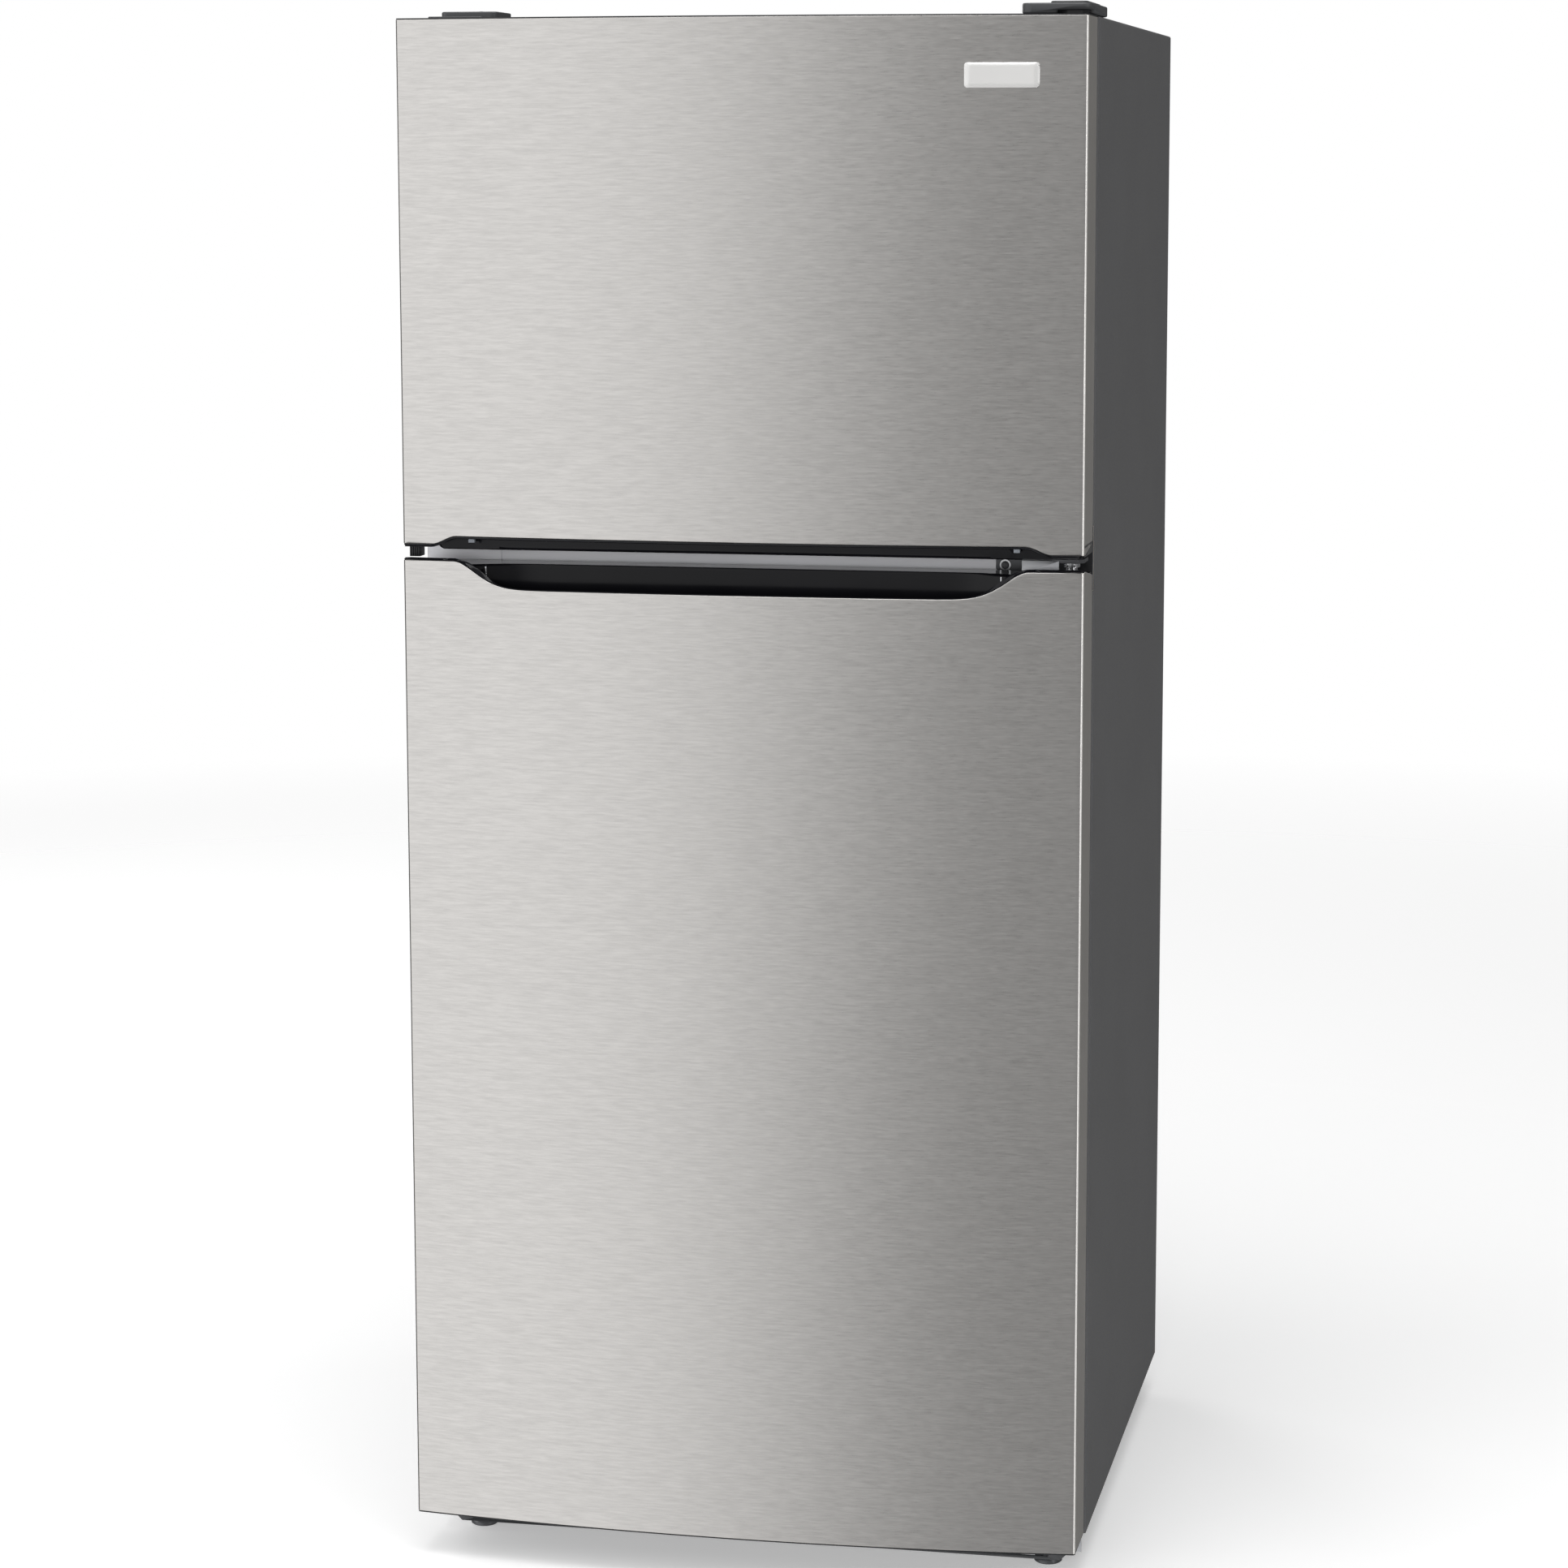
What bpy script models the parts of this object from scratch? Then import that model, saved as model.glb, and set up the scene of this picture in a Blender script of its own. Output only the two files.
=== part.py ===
"""Top freezer refrigerator, an assembly of separate parts, in metres, +Z up.

The origin is on the floor under the middle of the refrigerator. The doors face -Y and hang on the right, at +X.
"""

import math

import bmesh
import bpy
from mathutils import Matrix, Vector

# ---- driving dimensions ----
HALF_WIDTH = 0.381
CABINET_FRONT = -0.296
CABINET_BACK = 0.409
CABINET_BOTTOM = 0.044
CABINET_TOP = 1.7445
SHEET = 0.0012  # painted steel
INSIDE_HALF = 0.3794  # just inside the cabinet's side sheets
GAP = 0.0003  # between pieces that touch

DOOR_BACK = -0.3155
DOOR_FRONT = -0.409  # the middle of the bowed front
BOW_RADIUS = 3.208
DOOR_CORNER = 0.003
SKIN = 0.0012  # stainless door skin
FREEZER_DOOR_BOTTOM = 1.168
FREEZER_DOOR_TOP = 1.744
FRESH_DOOR_BOTTOM = 0.050
FRESH_DOOR_TOP = 1.152
CAP_EDGE = 0.001  # plastic showing past the end of a steel skin

HINGE_X = 0.362
HINGE_Y = -0.341
PIN_RADIUS = 0.005

LINER = 0.0025
FREEZER_HALF = 0.320
FREEZER_FLOOR = 1.196
FREEZER_CEILING = 1.690
FREEZER_BACK = 0.345
FRESH_HALF = 0.332
FRESH_FLOOR = 0.102
FRESH_CEILING = 1.120
FRESH_BACK = 0.349
STEP_FRONT = 0.100  # the floor steps up here, over the machine compartment
STEP_TOP = 0.345
MACHINE_FRONT = 0.150
MACHINE_TOP = 0.300
MACHINE_MIDDLE_Y = 0.285  # compressor, fan and condenser are centred here
FAN_Z = 0.165
REAR_SHEET_FRONT = 0.4035
REAR_SHEET_BACK = 0.405

MULLION_BOTTOM = 1.1224
MULLION_TOP = 1.1936
BRACKET_BOTTOM = 1.1435  # between the two gaskets
BRACKET_TOP = 1.1725

RAIL_INNER = 0.320
RAIL_OUTER = 0.350
RAIL_BOTTOM = 0.020
ROLLER_RADIUS = 0.020
ROLLER_Y = 0.340
LEG_Y = -0.270

# ---- scene and materials ----
for old in list(bpy.data.objects):
    bpy.data.objects.remove(old, do_unlink=True)

parts = bpy.data.collections.new("top_freezer_refrigerator")
helpers = bpy.data.collections.new("helpers")
bpy.context.scene.collection.children.link(parts)
bpy.context.scene.collection.children.link(helpers)


def material(name, color, roughness, metallic=0.0, alpha=1.0):
    made = bpy.data.materials.new(name)
    made.use_nodes = True
    shader = made.node_tree.nodes["Principled BSDF"]
    shader.inputs["Base Color"].default_value = (*color, 1.0)
    shader.inputs["Roughness"].default_value = roughness
    shader.inputs["Metallic"].default_value = metallic
    shader.inputs["Alpha"].default_value = alpha
    return made


STAINLESS = material("stainless_steel", (0.52, 0.51, 0.49), 0.34, 1.0)
CHARCOAL = material("charcoal_paint", (0.085, 0.085, 0.088), 0.42)
BLACK_GLOSS = material("black_gloss_plastic", (0.012, 0.012, 0.014), 0.16)
DARK_PLASTIC = material("dark_grey_plastic", (0.07, 0.07, 0.074), 0.5)
WHITE_PLASTIC = material("white_liner_plastic", (0.82, 0.83, 0.84), 0.35)
GASKET_GREY = material("gasket_vinyl", (0.16, 0.16, 0.17), 0.6)
ZINC = material("zinc_plated_steel", (0.55, 0.56, 0.58), 0.38, 1.0)
GREY_PAINT = material("grey_paint", (0.33, 0.33, 0.35), 0.4)
FOAM = material("polyurethane_foam", (0.72, 0.60, 0.36), 0.9)
BLACK_STEEL = material("black_steel", (0.02, 0.02, 0.022), 0.45)
COPPER = material("copper_tube", (0.72, 0.36, 0.22), 0.35, 1.0)
CLEAR_PLASTIC = material("clear_plastic", (0.86, 0.90, 0.93), 0.08, 0.0, 0.35)
GLASS = material("shelf_glass", (0.80, 0.90, 0.88), 0.05, 0.0, 0.35)
BADGE_METAL = material("badge_metal", (0.80, 0.80, 0.80), 0.25, 1.0)


# ---- modelling helpers ----
def add_object(name, mesh, finish):
    made = bpy.data.objects.new(name, mesh)
    parts.objects.link(made)
    if finish:
        mesh.materials.clear()
        mesh.materials.append(finish)
    return made


def box(name, low, high, finish=None, bevel=0.0):
    """A block between two corners, with rounded edges where bevel is given."""
    shape = bmesh.new()
    bmesh.ops.create_cube(shape, size=1.0)
    low, high = Vector(low), Vector(high)
    for vertex in shape.verts:
        share = vertex.co + Vector((0.5, 0.5, 0.5))
        vertex.co = Vector(a + (b - a) * s for a, b, s in zip(low, high, share))
    mesh = bpy.data.meshes.new(name)
    shape.to_mesh(mesh)
    shape.free()
    made = add_object(name, mesh, finish)
    if bevel:
        rounding = made.modifiers.new("rounded edges", "BEVEL")
        rounding.width = bevel
        rounding.segments = 2
    return made


def cylinder(name, start, end, radius, finish=None, sides=24, end_radius=None):
    """A round bar from start to end, tapered where end_radius is given."""
    start, end = Vector(start), Vector(end)
    along = end - start
    turn = along.to_track_quat("Z", "Y").to_matrix().to_4x4()
    shape = bmesh.new()
    bmesh.ops.create_cone(
        shape,
        cap_ends=True,
        segments=sides,
        radius1=radius,
        radius2=radius if end_radius is None else end_radius,
        depth=along.length,
        matrix=Matrix.Translation((start + end) / 2) @ turn,
    )
    mesh = bpy.data.meshes.new(name)
    shape.to_mesh(mesh)
    shape.free()
    mesh.shade_smooth()
    mesh.set_sharp_from_angle(angle=math.radians(35))
    return add_object(name, mesh, finish)


TO_PLANE = {
    "Z": Matrix(((1, 0, 0, 0), (0, 1, 0, 0), (0, 0, 1, 0), (0, 0, 0, 1))),  # outline in X and Y
    "Y": Matrix(((1, 0, 0, 0), (0, 0, -1, 0), (0, 1, 0, 0), (0, 0, 0, 1))),  # outline in X and Z
    "X": Matrix(((0, 0, 1, 0), (1, 0, 0, 0), (0, 1, 0, 0), (0, 0, 0, 1))),  # outline in Y and Z
}


def prism(name, axis, outline, low, high, finish=None, holes=()):
    """A flat outline, with holes in it, drawn as a filled curve and extruded along an axis from low to high."""
    curve = bpy.data.curves.new(name, "CURVE")
    curve.dimensions = "2D"
    curve.fill_mode = "BOTH"
    curve.extrude = (high - low) / 2
    for points in (outline, *holes):
        spline = curve.splines.new("POLY")
        spline.points.add(len(points) - 1)
        for point, (u, v) in zip(spline.points, points):
            point.co = (u, v, 0, 1)
        spline.use_cyclic_u = True
    drawn = bpy.data.objects.new(name + "_outline", curve)
    helpers.objects.link(drawn)
    bpy.context.view_layer.update()
    mesh = bpy.data.meshes.new_from_object(drawn.evaluated_get(bpy.context.evaluated_depsgraph_get()))
    bpy.data.objects.remove(drawn)
    shape = bmesh.new()
    shape.from_mesh(mesh)
    bmesh.ops.remove_doubles(shape, verts=shape.verts, dist=0.00001)
    bmesh.ops.transform(shape, matrix=TO_PLANE[axis], verts=shape.verts)
    middle = {"X": (1, 0, 0), "Y": (0, 1, 0), "Z": (0, 0, 1)}[axis]
    bmesh.ops.translate(shape, verts=shape.verts, vec=Vector(middle) * (low + high) / 2)
    bmesh.ops.recalc_face_normals(shape, faces=shape.faces)
    shape.to_mesh(mesh)
    shape.free()
    mesh.name = name
    return add_object(name, mesh, finish)


def combine(target, operand, operation):
    """Cuts the operand from the target or joins it on, and keeps it as a hidden helper."""
    parts.objects.unlink(operand)
    helpers.objects.link(operand)
    operand.hide_render = True
    operand.display_type = "WIRE"
    step = target.modifiers.new(operand.name, "BOOLEAN")
    step.operation = operation
    step.object = operand
    return target


def cut(target, *operands):
    for operand in operands:
        combine(target, operand, "DIFFERENCE")
    return target


def join(target, *operands):
    for operand in operands:
        combine(target, operand, "UNION")
    return target


def rounded(x0, y0, x1, y1, radius, steps=4):
    """A rectangle with round corners, counterclockwise."""
    points = []
    for cx, cy, first in (
        (x1 - radius, y1 - radius, 0),
        (x0 + radius, y1 - radius, 90),
        (x0 + radius, y0 + radius, 180),
        (x1 - radius, y0 + radius, 270),
    ):
        for i in range(steps + 1):
            angle = math.radians(first + 90 * i / steps)
            points.append((cx + radius * math.cos(angle), cy + radius * math.sin(angle)))
    return points


def rectangle(x0, y0, x1, y1):
    return [(x0, y0), (x1, y0), (x1, y1), (x0, y1)]


def circle(cx, cy, radius, sides=24):
    return [
        (cx + radius * math.cos(2 * math.pi * i / sides), cy + radius * math.sin(2 * math.pi * i / sides))
        for i in range(sides)
    ]


def tube(name, points, radius, finish):
    curve = bpy.data.curves.new(name, "CURVE")
    curve.dimensions = "3D"
    curve.bevel_depth = radius
    curve.bevel_resolution = 1
    curve.use_fill_caps = True
    spline = curve.splines.new("POLY")
    spline.points.add(len(points) - 1)
    for point, place in zip(spline.points, points):
        point.co = (*place, 1)
    curve.materials.append(finish)
    made = bpy.data.objects.new(name, curve)
    parts.objects.link(made)
    return made


def serpentine(x0, x1, rows, radius):
    """Points of a tube that runs to and fro along X through rows of (y, z), with a round bend between rows."""
    points = []
    for i, (y, z) in enumerate(rows):
        ends = (x0, x1) if i % 2 == 0 else (x1, x0)
        points += [(ends[0], y, z), (ends[1], y, z)]
        if i + 1 < len(rows):
            next_y, next_z = rows[i + 1]
            out = 1 if ends[1] == x1 else -1
            for angle in (45, 90, 135):
                share = (1 - math.cos(math.radians(angle))) / 2
                reach = radius * math.sin(math.radians(angle))
                points.append((ends[1] + out * reach, y + (next_y - y) * share, z + (next_z - z) * share))
    return points


def on_axis(name, place, *objects):
    """Parents moving pieces to an empty on their joint's axis, without moving them."""
    pivot = bpy.data.objects.new(name, None)
    pivot.location = place
    pivot.empty_display_size = 0.05
    parts.objects.link(pivot)
    bpy.context.view_layer.update()
    for piece in objects:
        keep_in_place(piece, pivot)
    return pivot


def keep_in_place(piece, parent):
    piece.parent = parent
    piece.matrix_parent_inverse = parent.matrix_world.inverted()


# ---- door outlines ----
def front_y(x, inset=0.0):
    """Y of the bowed door front at x, moved into the door by inset."""
    return DOOR_FRONT + BOW_RADIUS - math.sqrt((BOW_RADIUS - inset) ** 2 - x * x)


def front_half(half, inset, steps=12):
    """The bowed front from its right end to its middle, with a rounded corner where it meets a door side."""
    points = []
    if half > HALF_WIDTH - 0.01:
        radius = max(DOOR_CORNER - inset, 0.0005)
        corner_x = half - radius
        corner_y = front_y(corner_x, inset) + radius
        for angle in (0, 30, 60):
            turn = math.radians(angle)
            points.append((corner_x + radius * math.cos(turn), corner_y - radius * math.sin(turn)))
        half = corner_x
    for i in range(steps):
        x = half * (1 - i / steps)
        points.append((x, front_y(x, inset)))
    return points


def section(inset, back, half=HALF_WIDTH):
    """A door's plan outline: straight back and sides, bowed front."""
    right = [(half - inset, back), *front_half(half - inset, inset)]
    middle = [(0.0, front_y(0.0, inset))]
    left = [(-x, y) for x, y in reversed(right)]
    return right + middle + left


def skin_section():
    """The steel skin's plan outline: front and both sides, open at the back."""
    return section(0.0, DOOR_BACK) + section(SKIN, DOOR_BACK)[::-1]


def pocket_share(s):
    """How far the fresh-food door's top edge has dropped at share s of the way into the pocket."""
    return 1 - math.exp(-((s / 0.33) ** 1.85))


def recess_share(s):
    return s * s * (3 - 2 * s)


def lip(outer, inner, edge, depth, share, steps=12):
    """An edge line in X and Z: level at the sides, moved by depth between -inner and +inner, smooth between."""
    right = []
    for i in range(steps + 1):
        s = i / steps
        right.append((outer - (outer - inner) * s, edge + depth * share(s)))
    return [(-x, z) for x, z in right], right


POCKET_OUTER = 0.322
POCKET_INNER = 0.212
POCKET_DEPTH = 0.0304
RECESS_OUTER = 0.347
RECESS_INNER = 0.318
RECESS_DEPTH = 0.0093
POCKET_BACK = -0.352
RECESS_BACK = -0.362


def pocket_outline(edge):
    """Everything over the fresh-food door's top edge line, in X and Z."""
    left, right = lip(POCKET_OUTER, POCKET_INNER, edge, -POCKET_DEPTH, pocket_share)
    return [(-POCKET_OUTER, edge + 0.03), *left, *right[::-1], (POCKET_OUTER, edge + 0.03)]


def recess_outline(edge):
    """Everything under the freezer door's bottom edge line, in X and Z."""
    left, right = lip(RECESS_OUTER, RECESS_INNER, edge, RECESS_DEPTH, recess_share)
    return [(-RECESS_OUTER, edge - 0.03), *left, *right[::-1], (RECESS_OUTER, edge - 0.03)]


# ---- cabinet ----
def cabinet():
    wrapper = box(
        "cabinet_wrapper",
        (-HALF_WIDTH, CABINET_FRONT, CABINET_BOTTOM - 0.01),
        (HALF_WIDTH, CABINET_BACK + 0.01, CABINET_TOP),
        CHARCOAL,
        0.0025,
    )
    inner = HALF_WIDTH - SHEET
    cut(
        wrapper,
        box("wrapper_back_end", (-0.4, CABINET_BACK, 0), (0.4, 0.5, 1.8)),
        box("wrapper_bottom_end", (-0.4, -0.4, 0), (0.4, 0.5, CABINET_BOTTOM)),
        box("wrapper_inside", (-inner, CABINET_FRONT + SHEET, 0), (inner, 0.5, CABINET_TOP - SHEET)),
        box("wrapper_opening", (-0.336, -0.35, 0.098), (0.336, -0.28, 1.704)),
        box(
            "wrapper_mullion_notch",
            (-inner, -0.35, MULLION_BOTTOM - 0.0004),
            (inner, CABINET_FRONT + SHEET + 0.001, MULLION_TOP + 0.0004),
        ),
    )
    box("rear_panel", (-INSIDE_HALF, REAR_SHEET_FRONT, 0.303), (INSIDE_HALF, REAR_SHEET_BACK, 1.743), ZINC)
    box(
        "mullion_rail",
        (-INSIDE_HALF, CABINET_FRONT, MULLION_BOTTOM),
        (INSIDE_HALF, CABINET_FRONT + SHEET, MULLION_TOP),
        GREY_PAINT,
    )
    box(
        "mullion_cover_plate",
        (-INSIDE_HALF, CABINET_FRONT - 0.0018, BRACKET_BOTTOM),
        (-0.293, CABINET_FRONT - GAP, BRACKET_TOP),
        GREY_PAINT,
        0.0005,
    )


def liners():
    """Two thin moulded boxes, open at the front, each with a flange behind the cabinet's front frame."""
    flange_front = CABINET_FRONT + SHEET + GAP
    flange_back = flange_front + LINER
    freezer = box(
        "freezer_liner",
        (-FREEZER_HALF - LINER, flange_front, FREEZER_FLOOR - LINER),
        (FREEZER_HALF + LINER, FREEZER_BACK + LINER, FREEZER_CEILING + LINER),
        WHITE_PLASTIC,
    )
    join(
        freezer,
        box(
            "freezer_flange",
            (-FREEZER_HALF - 0.022, flange_front, FREEZER_FLOOR - 0.020),
            (FREEZER_HALF + 0.022, flange_back, FREEZER_CEILING + 0.020),
        ),
    )
    cut(
        freezer,
        box(
            "freezer_inside",
            (-FREEZER_HALF, -0.35, FREEZER_FLOOR),
            (FREEZER_HALF, FREEZER_BACK, FREEZER_CEILING),
        ),
    )
    fresh = prism(
        "fresh_food_liner",
        "X",
        [
            (flange_front, FRESH_FLOOR - LINER),
            (STEP_FRONT + LINER, FRESH_FLOOR - LINER),
            (STEP_FRONT + LINER, STEP_TOP - LINER),
            (FRESH_BACK + LINER, STEP_TOP - LINER),
            (FRESH_BACK + LINER, FRESH_CEILING + LINER),
            (flange_front, FRESH_CEILING + LINER),
        ],
        -FRESH_HALF - LINER,
        FRESH_HALF + LINER,
        WHITE_PLASTIC,
    )
    join(
        fresh,
        box(
            "fresh_flange",
            (-FRESH_HALF - 0.018, flange_front, FRESH_FLOOR - 0.020),
            (FRESH_HALF + 0.018, flange_back, FRESH_CEILING + 0.020),
        ),
    )
    cut(
        fresh,
        prism(
            "fresh_inside",
            "X",
            [
                (-0.35, FRESH_FLOOR),
                (STEP_FRONT, FRESH_FLOOR),
                (STEP_FRONT, STEP_TOP),
                (FRESH_BACK, STEP_TOP),
                (FRESH_BACK, FRESH_CEILING),
                (-0.35, FRESH_CEILING),
            ],
            -FRESH_HALF,
            FRESH_HALF,
        ),
    )
    for side in (-1, 1):
        for level, back in ((0.338, STEP_FRONT + 0.001), (0.606, 0.320), (0.826, 0.320)):
            low, high = sorted((side * (FRESH_HALF + 0.001), side * (FRESH_HALF - 0.010)))
            join(fresh, box("fresh_ledge", (low, -0.160, level), (high, back, level + 0.0094)))
        low, high = sorted((side * (FREEZER_HALF + 0.001), side * (FREEZER_HALF - 0.010)))
        join(freezer, box("freezer_ledge", (low, -0.140, 1.440), (high, 0.260, 1.450)))
    join(fresh, box("switch_boss", (-0.268, -0.250, 1.090), (-0.232, -0.215, FRESH_CEILING + 0.001)))
    cut(fresh, cylinder("switch_bore", (-0.250, -0.26, 1.104), (-0.250, -0.222, 1.104), 0.0046, sides=16))


def cabinet_foam():
    front = CABINET_FRONT + SHEET + GAP + LINER + GAP
    foam = box("cabinet_insulation", (-INSIDE_HALF, front, 0.0467), (INSIDE_HALF, 0.4032, 1.743), FOAM)
    gap = LINER + GAP
    cut(
        foam,
        box(
            "foam_freezer_space",
            (-FREEZER_HALF - gap, -0.35, FREEZER_FLOOR - gap),
            (FREEZER_HALF + gap, FREEZER_BACK + gap, FREEZER_CEILING + gap),
        ),
        prism(
            "foam_fresh_space",
            "X",
            [
                (-0.35, FRESH_FLOOR - gap),
                (STEP_FRONT + gap, FRESH_FLOOR - gap),
                (STEP_FRONT + gap, STEP_TOP - gap),
                (FRESH_BACK + gap, STEP_TOP - gap),
                (FRESH_BACK + gap, FRESH_CEILING + gap),
                (-0.35, FRESH_CEILING + gap),
            ],
            -FRESH_HALF - gap,
            FRESH_HALF + gap,
        ),
        box("foam_machine_space", (-0.352, MACHINE_FRONT, 0), (0.352, 0.45, MACHINE_TOP)),
    )


def base():
    frame = box(
        "base_frame",
        (-INSIDE_HALF, -0.2945, CABINET_BOTTOM + GAP),
        (INSIDE_HALF, 0.403, 0.0463),
        BLACK_STEEL,
    )
    for side in (-1, 1):
        inner, outer = side * RAIL_INNER, side * RAIL_OUTER
        low, high = min(inner, outer), max(inner, outer)
        middle = side * (RAIL_INNER + RAIL_OUTER) / 2
        join(
            frame,
            box("rail", (low, -0.292, RAIL_BOTTOM), (high, 0.395, 0.045)),
            box("roller_cheeks", (low, ROLLER_Y - 0.030, 0.008), (high, ROLLER_Y + 0.030, 0.045)),
        )
        slot = (low + 0.003, high - 0.003)
        cut(
            frame,
            box("roller_slot", (slot[0], ROLLER_Y - 0.025, 0.0), (slot[1], ROLLER_Y + 0.025, 0.0435)),
            cylinder(
                "axle_hole",
                (low - 0.01, ROLLER_Y, ROLLER_RADIUS),
                (high + 0.01, ROLLER_Y, ROLLER_RADIUS),
                0.0043,
                sides=16,
            ),
            cylinder("leg_hole", (middle, LEG_Y, 0.0), (middle, LEG_Y, 0.0405), 0.0065, sides=16),
        )


def feet():
    for name, side in (("left", -1), ("right", 1)):
        middle = side * (RAIL_INNER + RAIL_OUTER) / 2
        leg = cylinder("leveling_leg_" + name, (middle, LEG_Y, 0.0), (middle, LEG_Y, 0.006), 0.016, ZINC, 20)
        join(leg, cylinder("leg_stem", (middle, LEG_Y, 0.005), (middle, LEG_Y, 0.038), 0.006, sides=16))
        on_axis("leg_axis_" + name, (middle, LEG_Y, 0.0), leg)
        roller = cylinder(
            "rear_roller_" + name,
            (middle - 0.0105, ROLLER_Y, ROLLER_RADIUS),
            (middle + 0.0105, ROLLER_Y, ROLLER_RADIUS),
            ROLLER_RADIUS,
            DARK_PLASTIC,
            32,
        )
        join(
            roller,
            cylinder(
                "axle",
                (middle - 0.0145, ROLLER_Y, ROLLER_RADIUS),
                (middle + 0.0145, ROLLER_Y, ROLLER_RADIUS),
                0.004,
                sides=16,
            ),
        )
        on_axis("roller_axis_" + name, (middle, ROLLER_Y, ROLLER_RADIUS), roller)


def toe_grille():
    slots = [
        rectangle(x0, z0, x0 + 0.158, z0 + 0.004)
        for x0 in (-0.350, -0.170, 0.012, 0.192)
        for z0 in (0.0125, 0.0205, 0.0285)
    ]
    prism(
        "toe_grille", "Y", rounded(-0.372, 0.008, 0.372, 0.0355, 0.003), -0.304, -0.2957, DARK_PLASTIC, slots
    )


def hinges():
    top = prism(
        "top_hinge",
        "Z",
        [
            (0.312, -0.232),
            (0.312, -0.300),
            (0.330, -0.318),
            (0.346, -0.348),
            (0.354, -0.353),
            (0.370, -0.353),
            (0.376, -0.347),
            (0.376, -0.232),
        ],
        CABINET_TOP + GAP,
        CABINET_TOP + 0.0043,
        ZINC,
    )
    join(top, cylinder("top_pin", (HINGE_X, HINGE_Y, 1.716), (HINGE_X, HINGE_Y, 1.7475), PIN_RADIUS, sides=16))

    centre = box(
        "center_hinge",
        (0.272, CABINET_FRONT - 0.0033, BRACKET_BOTTOM),
        (0.350, CABINET_FRONT - GAP, BRACKET_TOP),
        GREY_PAINT,
    )
    arm = [
        (0.305, -0.297),
        (0.312, -0.318),
        (0.340, -0.348),
        (0.354, -0.353),
        (0.370, -0.353),
        (0.376, -0.347),
        (0.376, -0.315),
        (0.362, -0.297),
    ]
    join(
        centre,
        prism("hinge_arm", "Z", arm, 1.1575, 1.1620),
        cylinder("lower_pin", (HINGE_X, HINGE_Y, 1.126), (HINGE_X, HINGE_Y, 1.159), PIN_RADIUS, sides=16),
        cylinder("upper_pin", (HINGE_X, HINGE_Y, 1.160), (HINGE_X, HINGE_Y, 1.194), PIN_RADIUS, sides=16),
        cylinder("lower_washer", (HINGE_X, HINGE_Y, 1.1527), (HINGE_X, HINGE_Y, 1.158), 0.0085, sides=20),
        cylinder("upper_washer", (HINGE_X, HINGE_Y, 1.1615), (HINGE_X, HINGE_Y, 1.1675), 0.0085, sides=20),
    )

    bottom = prism(
        "bottom_hinge",
        "Z",
        [
            (0.318, -0.296),
            (0.326, -0.330),
            (0.346, -0.351),
            (0.370, -0.353),
            (0.376, -0.347),
            (0.376, -0.296),
        ],
        0.0385,
        0.0425,
        BLACK_STEEL,
    )
    join(
        bottom,
        box("hinge_flange", (0.318, CABINET_FRONT + 0.0009, 0.0215), (0.376, -0.2924, 0.0425)),
        box("flange_bend", (0.318, -0.2975, 0.0385), (0.376, -0.2924, 0.0425)),
        cylinder("bottom_pin", (HINGE_X, HINGE_Y, 0.041), (HINGE_X, HINGE_Y, 0.078), PIN_RADIUS, sides=16),
        cylinder("bottom_washer", (HINGE_X, HINGE_Y, 0.041), (HINGE_X, HINGE_Y, 0.0495), 0.0085, sides=20),
    )


def top_covers():
    """The hinge cover's rear part stands on the cabinet, and its front part reaches over the door."""
    cover = prism(
        "top_hinge_cover",
        "Z",
        rounded(0.304, -0.357, 0.3808, -0.218, 0.012),
        CABINET_TOP + GAP + 0.0006,
        1.7566,
        DARK_PLASTIC,
    )
    join(cover, prism("cover_rise", "Z", rounded(0.334, -0.349, 0.3748, -0.232, 0.010), 1.755, 1.7590))
    cut(
        cover,
        prism("cover_inside", "Z", rounded(0.3066, -0.3544, 0.3782, -0.2206, 0.010), 1.74, 1.7542),
        box("cover_slot", (0.342, -0.37, 1.74), (0.3782, -0.34, 1.7496)),
    )
    left = prism(
        "top_left_cover",
        "Z",
        rounded(-0.366, -0.266, -0.300, -0.201, 0.008),
        CABINET_TOP + GAP,
        1.7553,
        DARK_PLASTIC,
    )
    step = box("left_cover_step", (-0.379, -0.271, CABINET_TOP + GAP), (-0.316, -0.255, 1.7500), bevel=0.001)
    join(left, step)


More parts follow.
